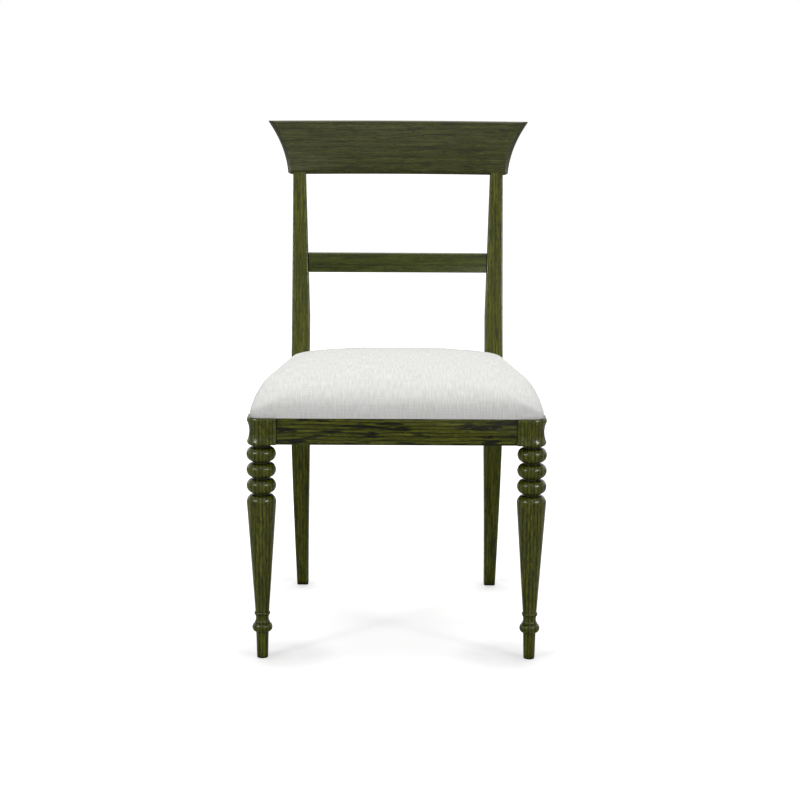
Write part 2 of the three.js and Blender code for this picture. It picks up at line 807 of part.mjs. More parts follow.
// Anticlockwise points of the pad's outline, from the left end of the front edge.
function padOutline(inset, corner) {
  const front = padFront + inset + corner;
  const rear = padRear - inset - corner;
  const centres = [
    [padHalfAt(front, inset + corner), front, -Math.PI / 2, padAngle],
    [padHalfAt(rear, inset + corner), rear, padAngle, Math.PI / 2],
  ];
  const half = [];
  const steps = 6;
  for (const [x, y, from, to] of centres) {
    for (let k = 0; k <= steps; k += 1) {
      const angle = from + ((to - from) * k) / steps;
      half.push(new THREE.Vector2(x + corner * Math.cos(angle), y + corner * Math.sin(angle)));
    }
  }
  const sideSteps = 3;
  const sideFrom = half[steps];
  const sideTo = half[steps + 1];
  const between = [];
  for (let k = 1; k < sideSteps; k += 1) between.push(sideFrom.clone().lerp(sideTo, k / sideSteps));
  half.splice(steps + 1, 0, ...between);
  const other = half.map((p) => new THREE.Vector2(-p.x, p.y)).reverse();
  const middles = [new THREE.Vector2(0, padRear - inset), new THREE.Vector2(0, padFront + inset)];
  return [...half, middles[0], ...other, middles[1]];
}

// The crowned pad, all its faces drawn in by a distance. Its sides pull in at the bottom, stand
// full a sixth of the way up, and round over to a domed top; its corners soften as they rise.
function padBody(grow) {
  const sideShares = [
    [0, padDrawInShare, layerCornerShare],
    [0.1, 0.04, layerCornerShare],
    [0.17, 0, 0.13],
    [0.34, 0.035, 0.26],
    [0.5, 0.135, 0.41],
    [0.635, 0.29, 0.555],
    [0.74, 0.5, 0.705],
    [0.81, 0.74, 0.85],
    [0.836, 1, 1],
  ];
  const crownShares = [0.92, 0.82, 0.68, 0.5, 0.3];
  const bottom = padBottom + grow;
  const height = frameTop + padHeight - grow - bottom;
  const rings = sideShares.map(([heightShare, insetShare, cornerShare]) => {
    const outline = padOutline(grow + padShoulder * insetShare, padCorner * cornerShare - grow);
    return outline.map((p) => new THREE.Vector3(p.x, p.y, bottom + height * heightShare));
  });
  const [shoulderShare] = sideShares.at(-1);
  const top = rings.at(-1);
  const middle = (padFront + padRear) / 2;
  for (const share of crownShares) {
    const lift = shoulderShare + (1 - shoulderShare) * (1 - share ** crownPower);
    const z = bottom + height * lift;
    rings.push(top.map((p) => new THREE.Vector3(p.x * share, middle + (p.y - middle) * share, z)));
  }
  return loft(rings);
}

// The room that the left stile and a clearance round it take out of the pad.
function stileRoom(clearance) {
  const steps = 6;
  const top = frameTop + padHeight + overrun;
  const outline = [];
  for (let k = 0; k <= steps; k += 1) {
    const height = frameTop + ((top - frameTop) * k) / steps;
    outline.push(new THREE.Vector2(legFrontAt(height) - clearance, height));
  }
  outline.push(new THREE.Vector2(padRear + overrun, top));
  outline.push(new THREE.Vector2(padRear + overrun, frameTop - overrun));
  outline.push(new THREE.Vector2(frameDepth - clearance, frameTop - overrun));
  return prismAcross(outline.reverse(), -padFrontHalf - overrun, -rearInner + clearance);
}

// A flat layer of the pad, drawn in from its edge and round the stiles.
function padLayer(inset, clearance, bottom, top) {
  const room = stileRoom(clearance);
  const plain = prism(padOutline(inset, padCorner * layerCornerShare), bottom, top);
  return shaped(plain, [], [room, mirrored(room)]);
}

const coverInset = padShoulder * padDrawInShare + coverThickness;

function seatCover() {
  const outerRoom = stileRoom(padClearance);
  const innerRoom = stileRoom(padClearance + coverThickness);
  const inner = shaped(padBody(coverThickness), [], [innerRoom, mirrored(innerRoom)]);
  const opening = padLayer(
    coverInset + coverHem,
    padClearance + coverHem,
    padBottom - overrun,
    boardBottom + fit,
  );
  const rooms = [outerRoom, mirrored(outerRoom)];
  return shaped(padBody(0), [], [...rooms, inner, opening, ...seatScrewBores()]);
}

function seatFoam() {
  const gap = coverThickness + fit;
  const room = stileRoom(padClearance + gap);
  const below = padLayer(-overrun, -overrun, padBottom - overrun, boardTop + fit);
  return shaped(padBody(gap), [], [room, mirrored(room), below]);
}

function seatBoard() {
  const clearance = padClearance + coverThickness + fit;
  const plain = padLayer(coverInset + fit, clearance, boardBottom, boardTop);
  return shaped(plain, [], seatScrewBores());
}

function dustCover() {
  const inset = coverInset + coverHem + fit;
  const top = boardBottom - fit;
  const plain = padLayer(inset, padClearance + coverHem + fit, top - dustCoverThickness, top);
  return shaped(plain, [], seatScrewBores());
}

// The scene graph
const chair = new THREE.Group();
const seatFrame = new THREE.Group();
const back = new THREE.Group();
const seatPad = new THREE.Group();
chair.add(seatFrame, back, seatPad);

function addMesh(group, name, geometry, material) {
  const mesh = new THREE.Mesh(geometry, material());
  mesh.name = name;
  mesh.geometry.computeVertexNormals();
  group.add(mesh);
  return mesh;
}

// Adds a left piece and its mirror image.
function addPair(group, name, geometry, material) {
  const left = addMesh(group, `${name}_left`, geometry, material);
  const right = addMesh(group, `${name}_right`, mirrored(geometry), material);
  return [left, right];
}

const [legLeft, legRight] = addPair(seatFrame, "front_leg", frontLeg(), oak);
legLeft.position.x = -legX;
legRight.position.x = legX;
addMesh(seatFrame, "front_seat_rail", frontRail(), oak);
addMesh(seatFrame, "rear_seat_rail", rearRail(), oak);
addPair(seatFrame, "side_seat_rail", sideRail(), oak);
addPair(back, "rear_leg", rearLeg(), oak);
addMesh(back, "back_rail", backRail(), oak);
addMesh(back, "crest_rail", crestRail(), oak);

// Puts a left screw and its mirror image at their heads' bearing faces, shanks along a direction.
function addScrews(name, length, point, direction) {
  for (const [side, sign] of [["left", 1], ["right", -1]]) {
    const mesh = addMesh(seatFrame, `${name}_${side}`, screw(length), steel);
    const aim = new THREE.Vector3(direction.x * sign, direction.y, direction.z);
    mesh.quaternion.setFromUnitVectors(up.clone().negate(), aim);
    mesh.position.set(point.x * sign, point.y, point.z);
  }
}

for (const [end, corner] of Object.entries(cornerBlocks)) {
  addPair(seatFrame, `${end}_corner_block`, cornerBlock(corner), oak);
  addScrews(`${end}_rail_screw`, screwSeat + screwBite, corner.cross.head, corner.cross.direction);
  addScrews(`${end}_side_rail_screw`, screwSeat + screwBite, corner.side.head, corner.side.direction);
  addScrews(`${end}_seat_screw`, seatScrewLength, seatScrewPlace(corner), up);
}

addMesh(seatPad, "seat_board", seatBoard(), plywood);
addMesh(seatPad, "seat_foam", seatFoam(), foam);
addMesh(seatPad, "seat_cover", seatCover(), linen);
addMesh(seatPad, "dust_cover", dustCover(), cambric);

// The front rings stand foremost, and the middle of the crest rail's top rearmost.
const rearmost = crestAxis + crestRadius + crestBackAt(1 - crestEdge / crestHeight);
chair.children.forEach((group) => group.translateY((legRadius - rearmost) / 2));

export default chair;
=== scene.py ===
import math

import bmesh
import bpy
import numpy as np
from mathutils import Matrix, Vector


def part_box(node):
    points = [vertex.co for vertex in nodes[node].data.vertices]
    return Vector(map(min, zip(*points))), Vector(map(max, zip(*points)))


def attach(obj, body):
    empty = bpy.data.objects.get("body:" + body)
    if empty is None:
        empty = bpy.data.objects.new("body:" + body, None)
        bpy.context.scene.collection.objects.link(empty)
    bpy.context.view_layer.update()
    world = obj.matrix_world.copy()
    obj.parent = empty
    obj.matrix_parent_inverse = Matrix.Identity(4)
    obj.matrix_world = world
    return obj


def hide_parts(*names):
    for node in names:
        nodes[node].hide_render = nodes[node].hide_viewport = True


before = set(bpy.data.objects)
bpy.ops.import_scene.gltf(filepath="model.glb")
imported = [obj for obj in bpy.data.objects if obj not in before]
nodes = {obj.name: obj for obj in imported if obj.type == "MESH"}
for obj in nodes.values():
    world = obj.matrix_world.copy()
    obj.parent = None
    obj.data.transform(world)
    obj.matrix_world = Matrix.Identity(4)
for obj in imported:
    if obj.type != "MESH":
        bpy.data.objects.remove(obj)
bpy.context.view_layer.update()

# The workshop drawing is in millimetres, with the front legs' axes at y = 0.
drawing = {"unit": 0.001, "frontLegsAt": -0.262152}

# Keeps divisions from zero.
tiny = 1e-9


def toScene(points):
    # Drawing millimetres to the frame's metres.
    scaled = np.asarray(points, dtype=float) * drawing["unit"]
    return scaled + np.array([0.0, drawing["frontLegsAt"], 0.0])


def paired(x, y):
    # Two coordinates side by side; either may be a single number.
    return np.stack(np.broadcast_arrays(x, y), -1)


def linear(hexColour):
    # sRGB hex to linear colour.
    srgb = np.array([int(hexColour[k : k + 2], 16) for k in (1, 3, 5)]) / 255
    rgb = np.where(srgb <= 0.04045, srgb / 12.92, ((srgb + 0.055) / 1.055) ** 2.4)
    return (*rgb.tolist(), 1.0)


def setInputs(tree, node, inputs):
    # Each input gets a value or the socket that feeds it.
    for name, value in inputs.items():
        if isinstance(value, bpy.types.NodeSocket):
            tree.links.new(value, node.inputs[name])
        else:
            node.inputs[name].default_value = value


def addNode(tree, kind, inputs=None, stops=None, **settings):
    # One node with its settings and inputs, and the stops of its colour ramp.
    node = tree.nodes.new("ShaderNode" + kind)
    for name, value in settings.items():
        setattr(node, name, value)
    setInputs(tree, node, inputs or {})
    if stops:
        ramp = node.color_ramp.elements
        while len(ramp) < len(stops):
            ramp.new(0.5)
        for element, (place, colour) in zip(ramp, stops):
            element.position = place
            element.color = linear(colour)
    return node


def newMaterial(name):
    material = bpy.data.materials.new(name)
    material.use_nodes = True
    tree = material.node_tree
    return material, tree, tree.nodes["Principled BSDF"]


def addObject(name, data):
    thing = bpy.data.objects.new(name, data)
    bpy.context.scene.collection.objects.link(thing)
    return thing


# Studio

# In metres and degrees. The feet are given by their distance from the middle, sideways and lengthwise,
# and the floor's glow by its level at distances from the nearest foot; the glow is lowest at the feet,
# which paints a shadow round them.
studio = {
    "cameraPlace": (-0.0003, -3.6505, 1.0516),
    "cameraPitch": 10.084,
    "cameraYaw": -0.091,
    "cameraRoll": 0.284,
    "lens": 92.26,
    "sensorWidth": 36.0,
    "worldLevel": 0.28,
    "floorColour": "#d2d2d2",
    "floorReach": 14.0,
    "feet": (0.205, 0.25),
    "floorGlow": [(0.0, 0.45), (0.045, 0.54), (0.13, 0.71), (0.6, 0.78), (2.5, 1.0)],
}
softboxes = {
    "overheadSoftbox": {"place": (0, 0.5, 3.2), "aim": (0, 0, 0.3), "size": (2.6, 2.2), "power": 63},
    "frontTopStrip": {"place": (0, -1.75, 3.0), "aim": (0, 0, 0.5), "size": (2.2, 0.3), "power": 5},
    "leftSoftbox": {"place": (-2.1, -2.2, 1.75), "aim": (-0.2, -0.25, 0.4), "size": (0.4, 0.6), "power": 20},
    "rightSoftbox": {"place": (2.3, -2.1, 1.75), "aim": (0.2, -0.25, 0.4), "size": (0.4, 0.6), "power": 18},
}
# Reflectors that only show as highlights in the lacquer.
reflectors = {
    "leftReflector": {"place": (-2.5, -1.7, 1.5), "aim": (-0.2, -0.25, 0.4), "size": (0.7, 0.5), "power": 25},
    "rightReflector": {"place": (1.9, -2.3, 1.6), "aim": (0.2, -0.25, 0.4), "size": (1.4, 0.4), "power": 45},
    "frontReflector": {"place": (0, -2.6, 2.75), "aim": (0, 0.1, 0.6), "size": (1.6, 0.5), "power": 4},
    "leftRimReflector": {"place": (-2.6, 2.6, 1.2), "aim": (0, 0, 0.5), "size": (1.2, 1.6), "power": 7},
    "rightRimReflector": {"place": (2.6, 2.6, 1.2), "aim": (0, 0, 0.5), "size": (1.2, 1.6), "power": 7},
}


def setCamera():
    data = bpy.data.cameras.new("photoCamera")
    data.lens = studio["lens"]
    data.sensor_width = studio["sensorWidth"]
    camera = addObject("photoCamera", data)
    turn = Matrix.Rotation(math.radians(studio["cameraYaw"]), 4, "Z")
    tilt = Matrix.Rotation(math.radians(90 - studio["cameraPitch"]), 4, "X")
    roll = Matrix.Rotation(math.radians(studio["cameraRoll"]), 4, "Z")
    camera.matrix_world = Matrix.Translation(studio["cameraPlace"]) @ turn @ tilt @ roll
    bpy.context.scene.camera = camera


def setLights():
    for name, box in {**softboxes, **reflectors}.items():
        data = bpy.data.lights.new(name, "AREA")
        data.shape = "RECTANGLE"
        data.size, data.size_y = box["size"]
        data.energy = box["power"]
        lamp = addObject(name, data)
        place = Vector(box["place"])
        aim = (Vector(box["aim"]) - place).to_track_quat("-Z", "Y")
        lamp.matrix_world = Matrix.Translation(place) @ aim.to_matrix().to_4x4()
        lamp.visible_diffuse = name in softboxes
    world = bpy.data.worlds.new("studioWorld")
    bpy.context.scene.world = world
    world.use_nodes = True
    tree = world.node_tree
    background = tree.nodes["Background"]
    background.inputs["Color"].default_value = (1, 1, 1, 1)
    ray = addNode(tree, "LightPath")
    sharp = {0: ray.outputs["Is Glossy Ray"], 1: ray.outputs["Is Transmission Ray"]}
    seen = {0: ray.outputs["Is Camera Ray"], 1: addNode(tree, "Math", sharp, operation="ADD").outputs[0]}
    white = addNode(tree, "Math", seen, operation="ADD", use_clamp=True).outputs[0]
    level = addNode(tree, "MapRange", {"Value": white, "To Min": studio["worldLevel"], "To Max": 1.0})
    tree.links.new(level.outputs["Result"], background.inputs["Strength"])


def setFloor():
    # Pale grey paper floor. It glows for the camera only, so that it meets the white behind it and still
    # takes the chair's shadow. Its glow is least at each foot and grows with the distance from the nearest
    # one, which paints a shadow round the feet.
    material, tree, surface = newMaterial("paleGreyPaperFloor")
    tree.nodes.remove(surface)
    paper = addNode(tree, "BsdfDiffuse", {"Color": linear(studio["floorColour"])})
    place = addNode(tree, "TexCoord").outputs["Object"]
    mirrored = addNode(tree, "VectorMath", {0: place}, operation="ABSOLUTE").outputs["Vector"]
    fromFoot = addNode(tree, "VectorMath", {0: mirrored, 1: (*studio["feet"], 0.0)}, operation="SUBTRACT")
    distance = addNode(tree, "VectorMath", {0: fromFoot.outputs["Vector"]}, operation="LENGTH")
    # Painted shadow: the glow is lowest round each foot and rises away from it.
    glow = studio["floorGlow"][0][1]
    for (near, low), (far, high) in zip(studio["floorGlow"], studio["floorGlow"][1:]):
        rising = {"Value": distance.outputs["Value"], "From Min": near, "From Max": far, "To Max": high - low}
        rise = addNode(tree, "MapRange", rising, interpolation_type="SMOOTHSTEP")
        glow = addNode(tree, "Math", {0: glow, 1: rise.outputs["Result"]}, operation="ADD").outputs[0]
    ray = addNode(tree, "LightPath")
    seen = addNode(tree, "Math", {0: ray.outputs["Is Camera Ray"], 1: glow}, operation="MULTIPLY")
    light = addNode(tree, "Emission", {"Strength": seen.outputs[0]})
    both = addNode(tree, "AddShader", {0: paper.outputs[0], 1: light.outputs[0]})
    tree.links.new(both.outputs[0], tree.nodes["Material Output"].inputs["Surface"])
    mesh = bpy.data.meshes.new("paperFloor")
    reach = studio["floorReach"]
    corners = [(-reach, -reach, 0), (reach, -reach, 0), (reach, reach, 0), (-reach, reach, 0)]
    mesh.from_pydata(corners, [], [(0, 1, 2, 3)])
    mesh.materials.append(material)
    addObject("paperFloor", mesh)


bpy.context.scene.view_settings.view_transform = "Standard"
setCamera()
setLights()
setFloor()
print("studio set")

# Materials

# The wave texture's own spacing, in its units at scale 1.
waveSpacing = 0.314


def spread(low, high, toLow=0.0, toHigh=1.0):
    # Inputs of a node that spreads one range to another and holds its ends.
    return {"From Min": low, "From Max": high, "To Min": toLow, "To Max": toHigh}


# Each pattern has its size across the grain in millimetres, how many times as long it is along it, its
# detail, and the part of it that is spread out. The streaks and pores are drawn about twice as coarse
# as oak's own, so that they show at the photo's size.
oakPatterns = {
    "fibre": (1.1, 34.0, 3.0, spread(0.32, 0.68, 0.5)),
    "streak": (4.5, 30.0, 2.0, spread(0.32, 0.68, 0.68)),
    "patch": (7.5, 8.0, 2.0, spread(0.36, 0.46)),
    "pore": (1.4, 8.0, 1.0, spread(0.38, 0.44)),
    "fleck": (2.6, 5.0, 1.0, spread(0.7, 0.76, 0.0, 0.5)),
}
# Sizes in millimetres of a year ring and of the reach of the painted shade in grooves and joints.
oakLook = {
    "ring": 6.0,
    "ringDetail": {"Detail": 3.0, "Detail Scale": 0.5, "Detail Roughness": 0.6},
    "ringLine": spread(0.62, 0.98, 1.0),
    "noiseRoughness": 0.55,
    "groove": 12.0,
    "paintedGrooveShade": spread(0.2, 0.8, 0.12),
    "lightness": spread(0.12, 0.9),
    "poreShade": spread(0.0, 1.0, 0.4),
    "bump": {"Strength": 0.18, "Distance": 0.0003},
}
# The crest's tones are the stain's, made greyer than the rails' as a painted sheen for its face that leans
# back towards the light.
crestStainAndPaintedSheen = {
    "tones": [(0.0, "#181b0f"), (0.3, "#2c2f10"), (0.52, "#393c12"), (0.75, "#454720"), (1.0, "#53552c")],
    "fleck": "#6f6534",
    "sheen": 0.17,
    "roughness": (0.42, 0.27),
}
railStain = {
    **crestStainAndPaintedSheen,
    "tones": [(0.0, "#191e0a"), (0.3, "#2d340a"), (0.52, "#3a420a"), (0.75, "#454d16"), (1.0, "#535b22")],
}
greenStain = {
    "tones": [(0.0, "#0f1204"), (0.3, "#2f3404"), (0.52, "#464b06"), (0.75, "#595d10"), (1.0, "#6e6f26")],
    "fleck": "#7a6d36",
    "sheen": 0.21,
    "roughness": (0.34, 0.16),
}
bareOak = {
    "tones": [(0.0, "#8a6a40"), (0.3, "#a5844f"), (0.52, "#b8966a"), (0.75, "#c5a67a"), (1.0, "#d2b78e")],
    "fleck": "#d8c096",
    "sheen": 0.3,
    "roughness": (0.8, 0.7),
}


def oak(name, along, pith, look=greenStain, lines=0.3, patches=0.3, wander=(2.6, 30), laid=False):
    # Oak with fibres, streaks and open pores along the grain, dark lines at its year rings, and
    # darker patches. The green one is stained under a satin lacquer, the bare one sawn. Painted shade
    # darkens the colour in grooves, joints and under other parts, the more the more enclosed a point is.
    # The rings wander, in waves drawn out along the grain. On bent and shaped pieces the grain is laid
    # along the piece by an attribute of the mesh.
    material, tree, surface = newMaterial(name)
    axis = "XYZ".index(along)
    if laid:
        place = addNode(tree, "Attribute", attribute_name="grain").outputs["Vector"]
    else:
        place = addNode(tree, "TexCoord").outputs["Object"]
    distortion, lengthening = wander
    squeeze = [1.0, 1.0, 1.0]
    squeeze[axis] = 1 / lengthening
    trunk = addNode(tree, "Mapping", {"Vector": place, "Location": pith, "Scale": squeeze})
    ringScale = waveSpacing / (oakLook["ring"] * drawing["unit"])
    ringing = {"Vector": trunk.outputs["Vector"], "Scale": ringScale, "Distortion": distortion}
    ringing.update(oakLook["ringDetail"])
    rings = addNode(tree, "TexWave", ringing, wave_type="RINGS", rings_direction=along, wave_profile="SAW")
    lining = {"Value": rings.outputs["Fac"], **oakLook["ringLine"], "To Max": 1 - lines}
    shade = {"ring": addNode(tree, "MapRange", lining).outputs["Result"]}
    for pattern, (width, lengthening, detail, spreading) in oakPatterns.items():
        scale = [1 / (width * drawing["unit"])] * 3
        scale[axis] /= lengthening
        run = addNode(tree, "Mapping", {"Vector": place, "Scale": scale}).outputs["Vector"]
        noise = {"Vector": run, "Scale": 1.0, "Detail": detail, "Roughness": oakLook["noiseRoughness"]}
        spreading = {"Value": addNode(tree, "TexNoise", noise).outputs["Fac"], **spreading}
        if pattern == "patch":
            spreading["To Min"] = 1 - patches
        shade[pattern] = addNode(tree, "MapRange", spreading).outputs["Result"]
    # Painted shade: ambient occlusion darkens the colour in grooves, joints and under other parts.
    reach = {"Distance": oakLook["groove"] * drawing["unit"]}
    openness = addNode(tree, "AmbientOcclusion", reach, samples=4).outputs["AO"]
    paintedShading = {"Value": openness, **oakLook["paintedGrooveShade"]}
    shade["groove"] = addNode(tree, "MapRange", paintedShading).outputs["Result"]
    lightness = shade["fibre"]
    for pattern in ("streak", "ring", "patch", "groove"):
        both = {0: lightness, 1: shade[pattern]}
        lightness = addNode(tree, "Math", both, operation="MULTIPLY").outputs[0]
    toning = addNode(tree, "MapRange", {"Value": lightness, **oakLook["lightness"]}).outputs["Result"]
    tone = addNode(tree, "ValToRGB", {"Fac": toning}, stops=look["tones"]).outputs["Color"]
    filling = addNode(tree, "MapRange", {"Value": shade["pore"], **oakLook["poreShade"]}).outputs["Result"]
    filled = {0: 1.0, 6: tone, 7: filling}
    pored = addNode(tree, "Mix", filled, data_type="RGBA", blend_type="MULTIPLY").outputs[2]
    flecked = {0: shade["fleck"], 6: pored, 7: linear(look["fleck"])}
    glossing = {"Value": shade["pore"], **spread(0.0, 1.0, *look["roughness"])}
    bump = addNode(tree, "Bump", {"Height": shade["pore"], **oakLook["bump"]})
    finish = {
        "Base Color": addNode(tree, "Mix", flecked, data_type="RGBA").outputs[2],
        "Roughness": addNode(tree, "MapRange", glossing).outputs["Result"],
        "Specular IOR Level": look["sheen"],
        "Normal": bump.outputs["Normal"],
    }
    setInputs(tree, surface, finish)
    return material


oakFront = oak("oakFrontRail", "X", (0, 0.15, -0.1), lines=0.75, patches=0.75, wander=(8.0, 5))
oakBack = oak("oakBackRail", "X", (0, 0.2, -0.9), look=railStain)
oakCrest = oak("oakCrestRail", "X", (0, 0.3, -0.6), look=crestStainAndPaintedSheen, wander=(6.0, 10), laid=True)
oakTurned = oak("oakTurnedLeg", "Z", (0.9, 0.35, 0), lines=0.6, patches=0.15, wander=(2.4, 24))
oakSabre = oak("oakSabreLeg", "Z", (1.5, 0.1, 0), laid=True)
oakSide = oak("oakSideRail", "Y", (0.1, 0, -0.1), lines=0.6, patches=0.6, wander=(5.0, 8))
sawnOak = oak("sawnOakBlock", "X", (0, 0.2, -0.3), look=bareOak, patches=0.1)
print("oak made")

linenLook = {
    "colour": "#ebebe9",
    "shade": "#d5d4d1",
    "warpSpacing": 2.6,
    "weftSpacing": 2.1,
    "slubLength": 34.0,
    "weftShare": 0.6,
    "noise": {"Scale": 1.0, "Detail": 2.0, "Roughness": 0.6},
    "spread": spread(0.56, 1.04),
    "bump": {"Strength": 0.25, "Distance": 0.0004},
    "finish": {"Roughness": 0.95, "Specular IOR Level": 0.1, "Sheen Weight": 0.08},
}


def wovenLinen():
    # Plain-woven linen, matt, with slubs along both threads, stronger along the warp. Its threads lie
    # 0.6 mm apart and are drawn at two to three millimetres, so that they show.
    material, tree, surface = newMaterial("naturalLinen")
    mm = drawing["unit"]
    cloth = addNode(tree, "Attribute", attribute_name="threads").outputs["Vector"]
    warpSize = (1 / (linenLook["warpSpacing"] * mm), 1 / (linenLook["slubLength"] * mm), 0.0)
    weftSize = (1 / (linenLook["slubLength"] * mm), 1 / (linenLook["weftSpacing"] * mm), 0.0)
    slubs = []
    for size in (warpSize, weftSize):
        run = addNode(tree, "Mapping", {"Vector": cloth, "Scale": size}).outputs["Vector"]
        slubs.append(addNode(tree, "TexNoise", {"Vector": run, **linenLook["noise"]}).outputs["Fac"])
    weaving = {0: slubs[1], 1: linenLook["weftShare"], 2: slubs[0]}
    weave = addNode(tree, "Math", weaving, operation="MULTIPLY_ADD").outputs[0]
    tone = addNode(tree, "MapRange", {"Value": weave, **linenLook["spread"]}).outputs["Result"]
    dye = {0: tone, 6: linear(linenLook["shade"]), 7: linear(linenLook["colour"])}
    colour = addNode(tree, "Mix", dye, data_type="RGBA")
    bump = addNode(tree, "Bump", {"Height": tone, **linenLook["bump"]})
    woven = {"Base Color": colour.outputs[2], "Normal": bump.outputs["Normal"]}
    setInputs(tree, surface, {**woven, **linenLook["finish"]})
    return material


# Sizes in millimetres of two plies, and of a vein across its run.
plywoodLook = {
    "plies": 2.8,
    "wander": 0.4,
    "vein": 3.85,
    "veinLengthening": 25.0,
    "veinDetail": 3.0,
    "tones": [(0.0, "#a8875a"), (1.0, "#dcc090")],
    "roughness": 0.7,
}
# Its fibres are drawn at this size in millimetres, coarser than they are, so that they show.
cambricLook = {
    "fibre": 1.11,
    "fibreDetail": 4.0,
    "tones": [(0.3, "#161617"), (0.7, "#2a2a2c")],
    "bump": {"Strength": 0.4, "Distance": 0.0004},
    "roughness": 0.9,
}
# The size in millimetres of a spot in the zinc.
steelLook = {
    "spot": 1.43,
    "spotDetail": 2.0,
    "roughness": spread(0.0, 1.0, 0.25, 0.45),
    "colour": "#b9b8b0",
}


def birchPlywood():
    # Birch plywood, sanded: pale faces, and thin plies that show at its edge.
    material, tree, surface = newMaterial("birchPlywood")
    place = addNode(tree, "TexCoord").outputs["Object"]
    plyScale = waveSpacing / (plywoodLook["plies"] * drawing["unit"])
    layered = {"Vector": place, "Scale": plyScale, "Distortion": plywoodLook["wander"]}
    plies = addNode(tree, "TexWave", layered, bands_direction="Z").outputs["Fac"]
    squeeze = (1.0, 1 / plywoodLook["veinLengthening"], 1.0)
    run = addNode(tree, "Mapping", {"Vector": place, "Scale": squeeze}).outputs["Vector"]
    veinScale = 1 / (plywoodLook["vein"] * drawing["unit"])
    veining = {"Vector": run, "Scale": veinScale, "Detail": plywoodLook["veinDetail"]}
    veins = addNode(tree, "TexNoise", veining).outputs["Fac"]
    both = addNode(tree, "Math", {0: plies, 1: veins}, operation="MULTIPLY").outputs[0]
    tone = addNode(tree, "ValToRGB", {"Fac": both}, stops=plywoodLook["tones"])
    finish = {"Base Color": tone.outputs["Color"], "Roughness": plywoodLook["roughness"]}
    setInputs(tree, surface, finish)
    return material


def blackCambric():
    # Thin nonwoven upholsterer's cambric, matt black, with a fibrous face.
    material, tree, surface = newMaterial("blackCambric")
    place = addNode(tree, "TexCoord").outputs["Object"]
    fibreScale = 1 / (cambricLook["fibre"] * drawing["unit"])
    matted = {"Vector": place, "Scale": fibreScale, "Detail": cambricLook["fibreDetail"]}
    fibres = addNode(tree, "TexNoise", matted).outputs["Fac"]
    tone = addNode(tree, "ValToRGB", {"Fac": fibres}, stops=cambricLook["tones"])
    bump = addNode(tree, "Bump", {"Height": fibres, **cambricLook["bump"]})
    finish = {
        "Base Color": tone.outputs["Color"],
        "Roughness": cambricLook["roughness"],
        "Normal": bump.outputs["Normal"],
    }
    setInputs(tree, surface, finish)
    return material


def zincSteel():
    # Zinc-plated wood screws, drawn wire with a soft bright sheen.
    material, tree, surface = newMaterial("zincPlatedSteel")
    place = addNode(tree, "TexCoord").outputs["Object"]
    spotScale = 1 / (steelLook["spot"] * drawing["unit"])
    mottling = {"Vector": place, "Scale": spotScale, "Detail": steelLook["spotDetail"]}
    mottle = addNode(tree, "TexNoise", mottling).outputs["Fac"]
    rough = addNode(tree, "MapRange", {"Value": mottle, **steelLook["roughness"]})
    finish = {
        "Base Color": linear(steelLook["colour"]),
        "Metallic": 1.0,
        "Roughness": rough.outputs["Result"],
    }
    setInputs(tree, surface, finish)
    return material


linen = wovenLinen()
plywood = birchPlywood()
cambric = blackCambric()
steel = zincSteel()
print("other materials made")

# Surfaces


def smoothFaces(mesh):
    mesh.polygons.foreach_set("use_smooth", np.ones(len(mesh.polygons), dtype=bool))


def setVectors(mesh, name, vectors):
    # An attribute of the points, for a material to read.
    attribute = mesh.attributes.new(name, "FLOAT_VECTOR", "POINT")
    attribute.data.foreach_set("vector", vectors.ravel())


def mountPiece(name, mesh, replaced):
    # A piece on the chair's one body, in place of the CAD nodes that it shows.
    piece = addObject(name, mesh)
    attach(piece, "root")
    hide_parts(*replaced)
    return piece


def addPiece(name, points, faces, material, slot, replaced, smoothAngle=32, grain=None):
    # A mesh from drawing points, turned to face outwards by the sign of its volume. The grain is the
    # place of each point in the straight board.
    verts = toScene(points)
    mesh = bpy.data.meshes.new(name)
    mesh.from_pydata(verts.tolist(), [], faces)
    mesh.calc_loop_triangles()
    corners = np.empty(len(mesh.loop_triangles) * 3, dtype=np.int32)
    mesh.loop_triangles.foreach_get("vertices", corners)
    a, b, c = (verts[corners[k::3]] for k in range(3))
    if np.einsum("ij,ij->", a, np.cross(b, c)) < 0:
        mesh.flip_normals()
    smoothFaces(mesh)
    mesh.set_sharp_from_angle(angle=math.radians(smoothAngle))
    mesh.materials.append(material)
    if grain is not None:
        setVectors(mesh, "grain", grain * drawing["unit"])
    return mountPiece(name, mesh, replaced)


def loftFaces(ringCount, ringLength):
    # Quads between neighbouring closed rings, and a fan onto a pole at each end.
    low = np.arange(ringCount - 1)[:, None] * ringLength
    here = np.arange(ringLength)[None, :]
    after = (here + 1) % ringLength
    quads = np.stack([low + here, low + after, low + ringLength + after, low + ringLength + here], -1)
    start, end = ringCount * ringLength, ringCount * ringLength + 1
    last = (ringCount - 1) * ringLength
    fans = [(start, int(j), int(i)) for i, j in zip(here[0], after[0])]
    fans += [(end, int(last + i), int(last + j)) for i, j in zip(here[0], after[0])]
    return quads.reshape(-1, 4).tolist() + fans


def loft(rings):
    # Rings of points, with the middle of the first and of the last as poles.
    points = rings.reshape(-1, 3)
    return np.vstack([points, rings[0].mean(axis=0), rings[-1].mean(axis=0)]), loftFaces(*rings.shape[:2])


def atLevel(outline, level):
    return np.column_stack([outline, np.full(len(outline), level)])


def eased(low, high, steps):
    # Values that crowd together near both ends, by half a cosine wave.
    return low + (high - low) * (1 - np.cos(np.linspace(0, np.pi, steps + 1))) / 2


